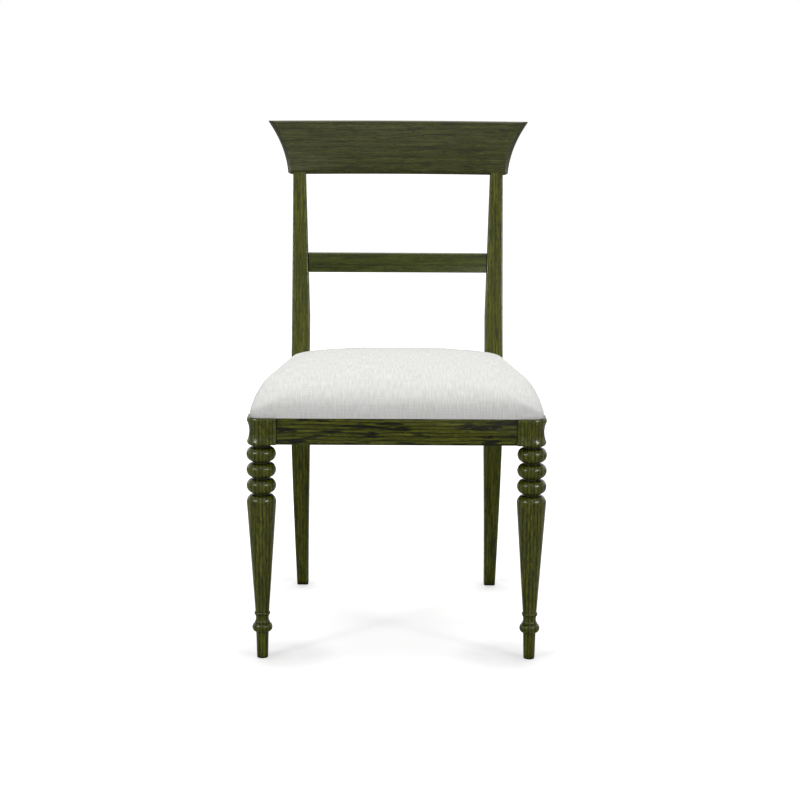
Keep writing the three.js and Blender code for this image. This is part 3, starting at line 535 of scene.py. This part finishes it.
def halfEllipse(bottom, top, neck, crown, steps=26):
    # Radius neck + (crown - neck) sin(a) at height that runs as half a cosine wave.
    angle = np.linspace(0, np.pi, steps + 1)
    radius = neck + (crown - neck) * np.sin(angle)
    return paired(radius, bottom + (top - bottom) * (1 - np.cos(angle)) / 2)


def pointsAndNormals(mesh):
    points, normals = np.empty(len(mesh.vertices) * 3), np.empty(len(mesh.vertices) * 3)
    mesh.vertices.foreach_get("co", points)
    mesh.vertex_normals.foreach_get("vector", normals)
    return points.reshape(-1, 3), normals.reshape(-1, 3)


# All four legs share the levels of the seat frame, and the worn edge of a foot: its levels, and how
# far each is drawn in.
sides = {"left": -1, "right": 1}
seatFrame = {"bottom": 375.0, "top": 420.0}
wornFoot = {"levels": (0.0, 0.35, 1.2), "insets": (1.2, 0.35, 0.0)}

# Front legs

# The block's waist lies at a share of its height. Its hollow reaches up and down from there, and the
# beads take the shares that are left below and above.
frontLeg = {
    "axis": 228.5,
    "blockInner": 26.0,
    "beadRadius": 24.0,
    "waistRadius": 20.0,
    "waist": 0.47,
    "hollow": 0.4,
    "beads": (0.07, 0.13),
    "beadRound": 1.5,
    "jointEase": 1.1,
    "ringRadius": 25.0,
    "neckRadius": 14.4,
    "neckHeight": 3.0,
    "ringPitch": 27.2,
    "ringCount": 3,
    "undercut": 5.0,
    "shoulder": 13.5,
    "taperEnd": 11.7,
    "ankleBead": 13.5,
    "cove": (10.9, 13.0),
    "torus": (12.2, 17.2),
    "heights": {"peg": 47.0, "torus": 61.5, "collar": 64.0, "cove": 76.5, "ankle": 81.5},
    "pegRadii": (9.3, 11.0),
}


def blockRadius(share):
    # A parabola hollow from the waist out to two beads, and the beads' round edges beyond them.
    waist, reach, bead = frontLeg["waist"], frontLeg["hollow"], frontLeg["beadRadius"]
    away = np.abs(share - waist)
    hollow = frontLeg["waistRadius"] + (bead - frontLeg["waistRadius"]) * (away / reach) ** 2
    over = (away - reach) / np.where(share < waist, *frontLeg["beads"])
    return np.where(away <= reach, hollow, bead - frontLeg["beadRound"] * over**2)


def blockPlan(radius):
    # Outline of the block from above: quarter round outside, flat front, eased joint, flat back.
    inner, ease = frontLeg["blockInner"], frontLeg["jointEase"]
    quarter = np.linspace(np.pi, 1.5 * np.pi, 25)
    turn = np.linspace(-np.pi / 2, 0, 5)
    rounded = paired(radius * np.cos(quarter), radius * np.sin(quarter))
    front = paired(eased(0, inner - ease, 10)[1:-1], -radius)
    corner = paired(inner - ease + ease * np.cos(turn), -radius + ease + ease * np.sin(turn))
    inside = paired(inner, eased(-radius + ease, inner, 16)[1:-1])
    back = paired(eased(inner, -radius, 20), inner)
    side = paired(-radius, eased(inner, 0, 12)[1:-1])
    return np.vstack([rounded, front, corner, inside, back, side])


def legProfile():
    # Radius and height up the turning: peg, torus, collar, cove, bead, taper, shoulder, rings, neck.
    size, level = frontLeg, frontLeg["heights"]
    foot, ankle = size["pegRadii"]
    full, neck = size["ringRadius"], size["neckRadius"]
    halfNeck, pitch = size["neckHeight"] / 2, size["ringPitch"]
    firstNeck = seatFrame["bottom"] - size["undercut"]
    shoulderTop = firstNeck - size["ringCount"] * pitch - halfNeck
    worn = paired(foot - np.array(wornFoot["insets"]), wornFoot["levels"])
    pegLevels = eased(wornFoot["levels"][-1], level["peg"], 14)
    peg = paired(np.linspace(foot, ankle, len(pegLevels)), pegLevels)[1:]
    torus = halfEllipse(level["peg"], level["torus"], *size["torus"])
    collar = paired(size["cove"][1], eased(level["torus"], level["collar"], 4))
    cove = halfEllipse(level["collar"], level["cove"], size["cove"][1], size["cove"][0], 18)[1:]
    bead = halfEllipse(level["cove"], level["ankle"], size["taperEnd"], size["ankleBead"], 14)[1:]
    taperTop = shoulderTop - size["shoulder"]
    height = eased(level["ankle"], taperTop, 30)[1:]
    share = (height - level["ankle"]) / (taperTop - level["ankle"])
    taper = paired(size["taperEnd"] + (full - size["taperEnd"]) * share, height)
    angle = np.linspace(0, np.pi / 2, 15)
    turnedIn = neck + (full - neck) * np.cos(angle)
    shoulder = paired(turnedIn, shoulderTop - size["shoulder"] * (1 - np.sin(angle)))
    necks = [firstNeck - k * pitch for k in range(size["ringCount"], 0, -1)]
    rings = [halfEllipse(low + halfNeck, low + pitch - halfNeck, neck, full) for low in necks]
    under = size["beadRadius"] - size["beadRound"] - neck
    rise = (size["undercut"] - halfNeck) * (1 - np.cos(angle))
    opening = paired(neck + under * np.sin(angle), firstNeck + halfNeck + rise)
    return np.vstack([worn, peg, torus, collar, cove, bead, taper, shoulder[1:], *rings, opening])


def buildFrontLeg(word, side):
    # The turned profile carried round the axis, going over into the block's plan at its underside.
    plan = blockPlan(frontLeg["beadRadius"])
    around = np.arctan2(plan[:, 1], plan[:, 0])
    profile = legProfile()
    circle = paired(np.cos(around), np.sin(around))
    turned = [atLevel(radius * circle, level) for radius, level in profile]
    shares = eased(0, 1, 44)
    levels = seatFrame["bottom"] + (seatFrame["top"] - seatFrame["bottom"]) * shares
    block = [atLevel(blockPlan(radius), level) for radius, level in zip(blockRadius(shares), levels)]
    rings = np.stack([*turned, *block])
    rings[..., 0] = side * (frontLeg["axis"] - rings[..., 0])
    points, faces = loft(rings)
    addPiece(f"turned_leg_{word}", points, faces, oakTurned, "stained_oak", [f"front_leg_{word}"])


for word, side in sides.items():
    buildFrontLeg(word, side)
print("front legs turned")

# Crest rail's sizes, which the tops of the rear legs also follow

# A curve is the part of its rise that goes with the height, and the part that goes with its square.
crest = {
    "bottom": 793.0,
    "height": 99.0,
    "axis": -495.673,
    "radius": 1000.0,
    "bottomHalf": 208.0,
    "flare": 38.5,
    "flareCurve": (0.15, 0.85),
    "lean": 27.0,
    "leanCurve": (0.55, 0.45),
    "splay": (0.06, 0.28),
    "bottomThickness": 24.0,
    "topThickness": 19.0,
    "edge": 3.0,
    "rounding": 8.5,
    "roundingDepth": 7.0,
    "endEdge": 0.9,
    "scribeGap": 0.3,
    "smoothAngle": 40.0,
}


def curved(share, curve):
    return curve[0] * share + curve[1] * share**2


def crestLean(share):
    return crest["lean"] * curved(share, crest["leanCurve"])


def crestBack(share):
    low, high = crest["bottomThickness"], crest["topThickness"]
    return crestLean(share) + low + (high - low) * share


def crestFront(rise):
    # The front leans back as it rises, and is rounded under: a quarter ellipse.
    below = np.clip(1 - rise / crest["rounding"], 0, 1)
    return crestLean(rise / crest["height"]) + crest["roundingDepth"] * (1 - np.sqrt(1 - below**2))


def crestHalf(rise):
    # Half width at the back: a curve that flares from nearly upright, and rounded lower corners.
    share = rise / crest["height"]
    corner = crest["edge"] * np.clip(1 - rise / crest["edge"], 0, 1) ** 2
    return crest["bottomHalf"] + crest["flare"] * curved(share, crest["flareCurve"]) - corner


# Rear legs

rearLeg = {
    "seatFront": 380.0,
    "seatBack": 427.0,
    "sweep": 90.0,
    "sweepPower": 1.8,
    "footDepth": 30.0,
    "legDepth": 47.0,
    "stileDepth": 24.0,
    "thinning": 50.0,
    "lean": 0.2448,
    "leanEasing": 30.0,
    "half": 197.5,
    "width": 33.5,
    "narrowsBelow": 280.0,
    "outerNarrowing": 5.5,
    "innerNarrowing": 12.2,
    "narrowsAbove": 530.0,
    "upperReach": 263.0,
    "upperNarrowing": 9.7,
    "turn": 0.1889,
    "turnsAbove": 648.0,
    "turnReach": 145.0,
    "top": 792.7,
    "cornerRadius": 2.6,
    "evenAbove": 560.0,
    "scribeMargin": 3.0,
    "scribeReach": 9.0,
    "scribeRings": (0.9, 0.8, 0.68, 0.5, 0.25),
}


def stileBack(height):
    # Eases into a straight lean above the seat frame.
    rise = np.maximum(height - seatFrame["top"], 0)
    easing = rearLeg["leanEasing"]
    return rearLeg["seatBack"] + rearLeg["lean"] * (rise - easing * (1 - np.exp(-rise / easing)))


def legFront(height):
    # A power curve back to the foot below the seat; above, the back less a depth that thins quickly.
    low, top = seatFrame["bottom"], seatFrame["top"]
    swept = (np.maximum(low - height, 0) / low) ** rearLeg["sweepPower"]
    below = rearLeg["seatFront"] + rearLeg["sweep"] * swept
    more = rearLeg["legDepth"] - rearLeg["stileDepth"]
    depth = rearLeg["stileDepth"] + more * np.exp(-np.maximum(height - top, 0) / rearLeg["thinning"])
    return np.where(height <= top, below, stileBack(height) - depth)


def legBack(height):
    more = rearLeg["legDepth"] - rearLeg["footDepth"]
    depth = rearLeg["footDepth"] + more * np.minimum(height / seatFrame["bottom"], 1)
    return np.where(height <= seatFrame["top"], legFront(height) + depth, stileBack(height))


def footShare(height):
    # From none, where the leg starts to narrow, to one at the floor.
    return np.maximum((rearLeg["narrowsBelow"] - height) / rearLeg["narrowsBelow"], 0)


def legOuter(height):
    return rearLeg["half"] - rearLeg["outerNarrowing"] * footShare(height)


def legInner(height):
    low = rearLeg["innerNarrowing"] * footShare(height)
    upper = np.maximum((height - rearLeg["narrowsAbove"]) / rearLeg["upperReach"], 0)
    return legOuter(height) - rearLeg["width"] + low + rearLeg["upperNarrowing"] * upper


def roundedRings(left, right, front, back, radius, height):
    # Level rectangles with round corners, one for each height; flats keep a point near each corner.
    quarter = np.linspace(0, np.pi / 2, 6)
    beside = radius / 2
    rings = []
    for k, (signX, signY) in enumerate(((1, 1), (-1, 1), (-1, -1), (1, -1))):
        angle = quarter + k * np.pi / 2
        nearX = np.where(signX > 0, right, left)[:, None] - signX * radius
        nearY = np.where(signY > 0, back, front)[:, None] - signY * radius
        arcX = nearX + radius * np.cos(angle)
        arcY = nearY + radius * np.sin(angle)
        before = (np.sin(angle[0]) * beside, -np.cos(angle[0]) * beside)
        after = (-np.sin(angle[-1]) * beside, np.cos(angle[-1]) * beside)
        x = np.concatenate([arcX[:, :1] + before[0], arcX, arcX[:, -1:] + after[0]], 1)
        y = np.concatenate([arcY[:, :1] + before[1], arcY, arcY[:, -1:] + after[1]], 1)
        rings.append(np.stack([x, y, np.broadcast_to(height[:, None], x.shape)], -1))
    return np.concatenate(rings, 1)


def legSections(height, worn=0.0):
    # Sections at a list of heights; the stile's front turns into the crest rail's curve as it rises.
    inner, outer = legInner(height), legOuter(height)
    near, far = legFront(height) + worn, legBack(height) - worn
    rings = roundedRings(inner + worn, outer - worn, near, far, rearLeg["cornerRadius"], height)
    share = np.clip((height - rearLeg["turnsAbove"]) / rearLeg["turnReach"], 0, 1)
    turn = rearLeg["turn"] * share**2
    rings[..., 1] += ((inner + outer)[:, None] / 2 - rings[..., 0]) * turn[:, None]
    return rings


def crestUnderside(points):
    # Height of the stile's top under the crest rail: level, and up along its rounding in front.
    behind = np.hypot(points[..., 0], points[..., 1] - crest["axis"]) - crest["radius"]
    rise = crest["rounding"] * (1 - np.cos(np.linspace(0, np.pi / 2, 60)))
    return rearLeg["top"] + np.interp(behind + crest["scribeGap"], crestFront(rise)[::-1], rise[::-1])


def scribedTop():
    # Rings of the stile's top: its rim, where the sides meet the rail, and the same drawn inwards.
    levels = np.linspace(rearLeg["top"], rearLeg["top"] + rearLeg["scribeReach"], 61)
    stack = legSections(levels)
    over = levels[:, None] - crestUnderside(stack)
    after = np.argmax(over >= 0, axis=0)
    before = np.maximum(after - 1, 0)
    column = np.arange(stack.shape[1])
    gap = over[after, column] - over[before, column]
    share = np.where(after > 0, -over[before, column] / np.maximum(gap, tiny), 0)[:, None]
    rim = stack[before, column] * (1 - share) + stack[after, column] * share
    middle = rim.mean(axis=0)
    rings = [rim]
    for size in rearLeg["scribeRings"]:
        ring = middle + (rim - middle) * size
        ring[:, 2] = crestUnderside(ring)
        rings.append(ring)
    return np.stack(rings)


def buildRearLeg(word, side):
    # Rounded sections stacked up the leg, drawn in by a worn edge at the foot.
    foot, low, top = wornFoot["levels"], seatFrame["bottom"], seatFrame["top"]
    leg = np.concatenate([foot, eased(foot[-1], low, 60)[1:], np.linspace(low, top, 4)[1:]])
    even, end = rearLeg["evenAbove"], rearLeg["top"] - rearLeg["scribeMargin"]
    stile = np.concatenate([eased(top, even, 44)[1:], np.linspace(even, end, 50)[1:]])
    height = np.concatenate([leg, stile])
    worn = np.zeros_like(height)
    worn[: len(foot)] = wornFoot["insets"]
    rings = np.concatenate([legSections(height, worn), scribedTop()])
    rings[..., 0] *= side
    points, faces = loft(rings)
    # The grain follows the leg's front.
    grain = points - np.outer(legFront(points[:, 2]), (0, 1, 0))
    made = (f"sabre_leg_{word}", points, faces, oakSabre, "stained_oak", [f"rear_leg_{word}"])
    addPiece(*made, grain=grain)


for word, side in sides.items():
    buildRearLeg(word, side)
print("rear legs shaped")

# Crest rail


def crestLoop():
    # The section as distance behind the bottom of the front and height, over equally many points up
    # the front and back down the back.
    edge, height = crest["edge"], crest["height"]
    angle = np.linspace(0, np.pi / 2, 12)
    low = crest["rounding"] * (1 - np.cos(angle))
    rise = np.concatenate([low, eased(crest["rounding"], height - edge, 32)[1:]])
    top = height - edge + edge * np.sin(angle[1::2])
    rise = np.concatenate([rise, top])
    topCut = edge * (1 - np.sqrt(1 - (np.clip(rise - height + edge, 0, edge) / edge) ** 2))
    lowCut = edge * (1 - np.sqrt(1 - np.clip(1 - rise / edge, 0, 1) ** 2))
    front = paired(crestFront(rise) + topCut, rise)
    back = paired(crestBack(rise / height) - topCut - lowCut, rise)
    return np.vstack([front, back[::-1]])


def drawnIn(loop, distance):
    # A closed outline moved inwards along its own normals.
    run = np.roll(loop, -1, 0) - np.roll(loop, 1, 0)
    run /= np.linalg.norm(run, axis=1)[:, None]
    inward = paired(run[:, 1], -run[:, 0])
    return loop + inward * distance


def ladderFaces(ringCount, ringLength):
    # Quads between neighbouring rings, and rungs across each end between its two sides.
    ladder = [(k, k + 1, ringLength - 2 - k, ringLength - 1 - k) for k in range(ringLength // 2 - 1)]
    last = (ringCount - 1) * ringLength
    ends = [rung[::-1] for rung in ladder] + [tuple(last + k for k in rung) for rung in ladder]
    return loftFaces(ringCount, ringLength)[: (ringCount - 1) * ringLength] + ends


def buildCrest():
    # The section carried round an upright axis. Its ends flare towards the top, and close in from
    # the back to the front.
    loop = crestLoop()
    ease = crest["endEdge"]
    least, more = crest["splay"]
    stations = eased(-1, 1, 90)
    turn = np.linspace(0, np.pi / 2, 5)
    plan = [(-1, ease * (1 - np.sin(a)), ease * (1 - np.cos(a))) for a in turn[::-1]]
    plan += [(s, ease, 0.0) for s in stations[1:-1]]
    plan += [(1, ease * (1 - np.sin(a)), ease * (1 - np.cos(a))) for a in turn]
    rings = []
    for across, short, inset in plan:
        behind, rise = drawnIn(loop, inset).T
        radius = crest["radius"] + behind
        back = crestBack(rise / crest["height"])
        splay = (least + more * rise / crest["height"]) * (back - behind) / radius
        whole = np.arcsin(crestHalf(rise) / (crest["radius"] + back)) - splay
        angle = (whole - short / crest["radius"]) * across
        place = (radius * np.sin(angle), crest["axis"] + radius * np.cos(angle), crest["bottom"] + rise)
        rings.append(np.stack(place, -1))
    rings = np.stack(rings)
    faces = ladderFaces(*rings.shape[:2])
    points = rings.reshape(-1, 3)
    # The grain follows the curve.
    out = points[:, 1] - crest["axis"]
    turned = np.arctan2(points[:, 0], out)
    grain = np.column_stack([turned * crest["radius"], np.hypot(points[:, 0], out), points[:, 2]])
    made = ("hollowed_crest_rail", points, faces, oakCrest, "stained_oak", ["crest_rail"])
    addPiece(*made, smoothAngle=crest["smoothAngle"], grain=grain)


buildCrest()
print("crest rail shaped")

# Rails and corner blocks

# Each one's material, slot and the width of its eased edges.
easedRails = {
    "front_seat_rail": (oakFront, "stained_oak", 1.1),
    "rear_seat_rail": (oakFront, "stained_oak", 1.1),
    "side_seat_rail_left": (oakSide, "stained_oak", 1.1),
    "side_seat_rail_right": (oakSide, "stained_oak", 1.1),
    "back_rail": (oakBack, "stained_oak", 1.4),
    "front_corner_block_left": (sawnOak, "block_oak", 0.7),
    "front_corner_block_right": (sawnOak, "block_oak", 0.7),
    "rear_corner_block_left": (sawnOak, "block_oak", 0.7),
    "rear_corner_block_right": (sawnOak, "block_oak", 0.7),
    "seat_board": (plywood, "plywood", 0.5),
}
easing = {"mergeWithin": 1e-6, "flatWithin": 0.5, "sharpAbove": 50.0, "segments": 3}


def easedCopy(name, material, edge):
    # A merged copy of a CAD node whose sharp edges get a small rounding.
    mesh = nodes[name].data.copy()
    mesh.name = name + "_eased"
    work = bmesh.new()
    work.from_mesh(mesh)
    bmesh.ops.remove_doubles(work, verts=work.verts, dist=easing["mergeWithin"])
    flat = math.radians(easing["flatWithin"])
    bmesh.ops.dissolve_limit(work, angle_limit=flat, verts=work.verts, edges=work.edges)
    work.to_mesh(mesh)
    work.free()
    smoothFaces(mesh)
    mesh.materials.clear()
    mesh.materials.append(material)
    piece = mountPiece(name + "_eased", mesh, [name])
    bevel = piece.modifiers.new("easedEdges", "BEVEL")
    bevel.width = edge * drawing["unit"]
    bevel.segments = easing["segments"]
    bevel.limit_method = "ANGLE"
    bevel.angle_limit = math.radians(easing["sharpAbove"])
    bevel.harden_normals = True


for name, (material, slot, edge) in easedRails.items():
    easedCopy(name, material, edge)
print("rails and corner blocks eased")

for name, node in nodes.items():
    if "screw" in name or name == "dust_cover":
        node.data.materials.clear()
        node.data.materials.append(cambric if name == "dust_cover" else steel)

# The dust cover is cut from one piece of cambric, notched round the stiles, and stapled on flat.
print("screws and dust cover finished")

# Seat pad

# Shares are of the pad's height: the side's and the shoulder's, and the dome's start and rise. A room
# or a hole is a gap or a radius, and the levels that it lies between.
pad = {
    "front": -23.4,
    "rear": 423.0,
    "frontHalf": 251.9,
    "rearHalf": 192.8,
    "bottom": 420.3,
    "top": 488.6,
    "shoulder": 16.5,
    "shoulderTurn": 86.0,
    "shares": (0.17, 0.666),
    "dome": (0.836, 0.164),
    "domeRings": (0.96, 0.9, 0.82, 0.72, 0.6, 0.46, 0.3, 0.14),
    "corner": 116.0,
    "cornerShares": (0.13, 0.87),
    "start": 2.4,
    "startShare": 0.2,
    "voxel": 5.0,
    "held": 3.0,
    "stiffness": 25.0,
    "pressure": 7.0,
    "frames": 20,
    "cap": 3.0,
    "inwardCap": 0.3,
    "smoothAngle": 50.0,
    "notchGap": 2.6,
    "frontRoll": 28.0,
    "frontRollReach": 170.0,
    "frontRollFade": 1.5,
    "frontRollPower": 2.2,
    "drawnIn": 0.25,
    "hemCorner": 12.8,
    "hemWidth": 22.0,
    "clothThickness": 1.6,
    "frameRoom": {"side": 300.0, "front": -60.0, "rear": 470.0, "bottom": 380.0},
    "stileRoom": {"side": 270.0, "rear": 470.0, "bottom": 416.0, "top": 496.0},
    "boardRoom": (3.1, 421.9, 434.5),
    "hemOpening": (23.5, 418.0, 422.6),
    "screwHole": (2.4, 417.0, 423.0),
}
# Rings under the pad and up its drawn-in side, as shares of the pad's height, of the shoulder's inset
# and of the corner's radius.
padLow = [(-0.1, 0.25, 0.11), (-0.05, 0.25, 0.11), (0.0, 0.25, 0.11), (0.05, 0.12, 0.11), (0.1, 0.04, 0.11)]


def padSlope():
    return (pad["frontHalf"] - pad["rearHalf"]) / (pad["rear"] - pad["front"])


def padOutline(inset, corner):
    # Plan of the pad, tapering to the rear, with round corners; counted from above, anticlockwise.
    slope = padSlope()
    lean = math.atan(slope)
    half = []
    for y, start, end in (
        (pad["front"] + inset + corner, -np.pi / 2, lean),
        (pad["rear"] - inset - corner, lean, np.pi / 2),
    ):
        x = pad["frontHalf"] - (y - pad["front"]) * slope - (inset + corner) / math.cos(lean)
        angle = np.linspace(start, end, 16)
        half.append(paired(x + corner * np.cos(angle), y + corner * np.sin(angle)))
    half = np.vstack(half)
    other = half[::-1] * np.array([-1.0, 1.0])
    return np.vstack([half, other])


def rolledFront(outline, roll):
    # The front drawn back by a distance that fades out along the sides, which keep their line.
    reach = pad["frontRollReach"]
    near = np.clip((pad["front"] + reach - outline[:, 1]) / reach, 0, 1)
    back = roll * near ** pad["frontRollFade"]
    x = outline[:, 0] * (1 - padSlope() * back / pad["frontHalf"])
    return paired(x, outline[:, 1] + back)


def padStart():
    # Rings from under the pad up its sides, which draw in at the bottom and round over in a quarter
    # ellipse, and over a domed top. Its corners in plan soften as they rise, and its front rolls
    # back as a power of the height. It is drawn in by the start distance, less towards the bottom.
    side, shoulder = pad["shares"]
    turn = np.linspace(0, math.radians(pad["shoulderTurn"]), 24)
    share = side + shoulder * np.sin(turn) / np.sin(turn[-1])
    inset = (1 - np.cos(turn)) / (1 - np.cos(turn[-1]))
    sharp, softer = pad["cornerShares"]
    over = np.column_stack([share, inset, sharp + softer * turn / turn[-1]])
    bottom, height = pad["bottom"], pad["top"] - pad["start"] - pad["bottom"]
    rings = []
    for share, inset, corner in [*padLow, *over.tolist()]:
        start = pad["start"] * min(max(share / pad["startShare"], 0), 1)
        outline = padOutline(start + pad["shoulder"] * inset, pad["corner"] * corner - start)
        rolled = max((share - side) / shoulder, 0) ** pad["frontRollPower"]
        outline = rolledFront(outline, pad["frontRoll"] * rolled)
        rings.append(atLevel(outline, bottom + height * share))
    rim = rings[-1]
    middle = np.array([0.0, (pad["front"] + pad["rear"]) / 2, 0.0])
    domeStart, domeRise = pad["dome"]
    for share in pad["domeRings"]:
        ring = middle + (rim - middle) * share
        ring[:, 2] = bottom + height * (domeStart + domeRise * (1 - share**3))
        rings.append(ring)
    return np.stack(rings)


def prismObject(name, outline, low, high, lying=False):
    # A closed prism over an outline, standing along z, or lying along x, where the outline gives y
    # and z.
    ends = np.stack([atLevel(outline, low), atLevel(outline, high)])
    points, faces = loft(np.roll(ends, 1, axis=-1) if lying else ends)
    mesh = bpy.data.meshes.new(name)
    mesh.from_pydata(toScene(points).tolist(), [], faces)
    work = bmesh.new()
    work.from_mesh(mesh)
    bmesh.ops.recalc_face_normals(work, faces=work.faces)
    work.to_mesh(mesh)
    work.free()
    return addObject(name, mesh)


def cutWith(piece, cutters):
    for cutter in cutters:
        cut = piece.modifiers.new(cutter.name, "BOOLEAN")
        cut.operation = "DIFFERENCE"
        cut.solver = "EXACT"
        cut.object = cutter
    applyModifiers(piece)
    for cutter in cutters:
        bpy.data.objects.remove(cutter)


def applyModifiers(piece):
    graph = bpy.context.evaluated_depsgraph_get()
    mesh = bpy.data.meshes.new_from_object(piece.evaluated_get(graph))
    piece.modifiers.clear()
    piece.data = mesh


def stileRooms(gap):
    # The room that each stile and a gap round it take out of the pad.
    room = pad["stileRoom"]
    height = np.linspace(room["bottom"], room["top"], 17)
    outline = paired(legFront(height) - gap, height)
    outline = np.vstack([outline, [[room["rear"], room["top"]], [room["rear"], room["bottom"]]]])
    inner = rearLeg["half"] - rearLeg["width"] - gap
    left = prismObject("stileRoom_left", outline, -room["side"], -inner, lying=True)
    return [left, prismObject("stileRoom_right", outline, inner, room["side"], lying=True)]


def swellPad(piece):
    # The cover swells under the foam's pressure; its underside stays held on the frame.
    mesh = piece.data
    before, normal = pointsAndNormals(mesh)
    held = piece.vertex_groups.new(name="held")
    low = np.flatnonzero(before[:, 2] < (pad["bottom"] + pad["held"]) * drawing["unit"])
    held.add(low.tolist(), 1.0, "REPLACE")
    cloth = piece.modifiers.new("swelling", "CLOTH")
    cloth.settings.use_pressure = True
    cloth.settings.uniform_pressure_force = pad["pressure"]
    cloth.settings.effector_weights.gravity = 0
    cloth.settings.vertex_group_mass = "held"
    cloth.settings.tension_stiffness = pad["stiffness"]
    cloth.settings.compression_stiffness = pad["stiffness"]
    scene = bpy.context.scene
    for step in range(pad["frames"]):
        scene.frame_set(step + 1)
    graph = bpy.context.evaluated_depsgraph_get()
    swollen = piece.evaluated_get(graph).to_mesh()
    after = np.empty(len(swollen.vertices) * 3)
    swollen.vertices.foreach_get("co", after)
    piece.evaluated_get(graph).to_mesh_clear()
    piece.modifiers.clear()
    piece.vertex_groups.clear()
    scene.frame_set(1)
    move = after.reshape(-1, 3) - before
    far = np.linalg.norm(move, axis=1, keepdims=True)
    move *= np.minimum(1, pad["cap"] * drawing["unit"] / np.maximum(far, tiny))
    outward = np.einsum("ij,ij->i", move, normal)[:, None]
    move += normal * (np.maximum(outward, -pad["inwardCap"] * drawing["unit"]) - outward)
    mesh.vertices.foreach_set("co", (before + move).ravel())
    mesh.update()


def padLayer(name, inset):
    # A level layer of the pad, drawn in from its edge and round the stiles.
    gap, low, high = pad[name]
    layer = prismObject(name, padOutline(inset, pad["hemCorner"]), low, high)
    cutWith(layer, stileRooms(gap))
    return layer


def padCutters():
    # The frame below, the board's room, the opening inside the turned-in hem, and the screw holes.
    edge = pad["shoulder"] * pad["drawnIn"] + pad["clothThickness"]
    room = pad["frameRoom"]
    side, front, rear = room["side"], room["front"], room["rear"]
    square = np.array([(-side, front), (side, front), (side, rear), (-side, rear)])
    cutters = [prismObject("frameRoom", square, room["bottom"], pad["bottom"])]
    cutters.append(padLayer("boardRoom", edge))
    cutters.append(padLayer("hemOpening", edge + pad["hemWidth"]))
    radius, start, end = pad["screwHole"]
    turn = np.linspace(0, 2 * np.pi, 16, endpoint=False)
    ring = radius * paired(np.cos(turn), np.sin(turn))
    for screw in [name for name in nodes if "seat_screw" in name]:
        low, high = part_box(screw)
        place = ((low + high) / 2 - Vector(toScene((0, 0, 0)))) / drawing["unit"]
        cutters.append(prismObject("hole_" + screw, ring + np.array(place.xy), start, end))
    return cutters


def setThreads(piece):
    # Thread coordinates: across and along the chair on top, and on down the sides.
    place, normal = pointsAndNormals(piece.data)
    drop = pad["top"] * drawing["unit"] - place[:, 2:]
    threads = place + normal * drop
    threads[:, 2] = 0
    setVectors(piece.data, "threads", threads)


def buildPad():
    points, faces = loft(padStart())
    piece = addPiece("linen_seat_pad", points, faces, linen, "linen", ["seat_cover", "seat_foam"])
    cutWith(piece, stileRooms(pad["notchGap"]))
    remesh = piece.modifiers.new("evenMesh", "REMESH")
    remesh.mode = "VOXEL"
    remesh.voxel_size = pad["voxel"] * drawing["unit"]
    applyModifiers(piece)
    swellPad(piece)
    fine = piece.modifiers.new("fine", "SUBSURF")
    fine.levels = fine.render_levels = 1
    applyModifiers(piece)
    cutWith(piece, padCutters())
    mesh = piece.data
    smoothFaces(mesh)
    mesh.set_sharp_from_angle(angle=math.radians(pad["smoothAngle"]))
    mesh.materials.clear()
    mesh.materials.append(linen)
    setThreads(piece)


buildPad()
print("seat pad made")
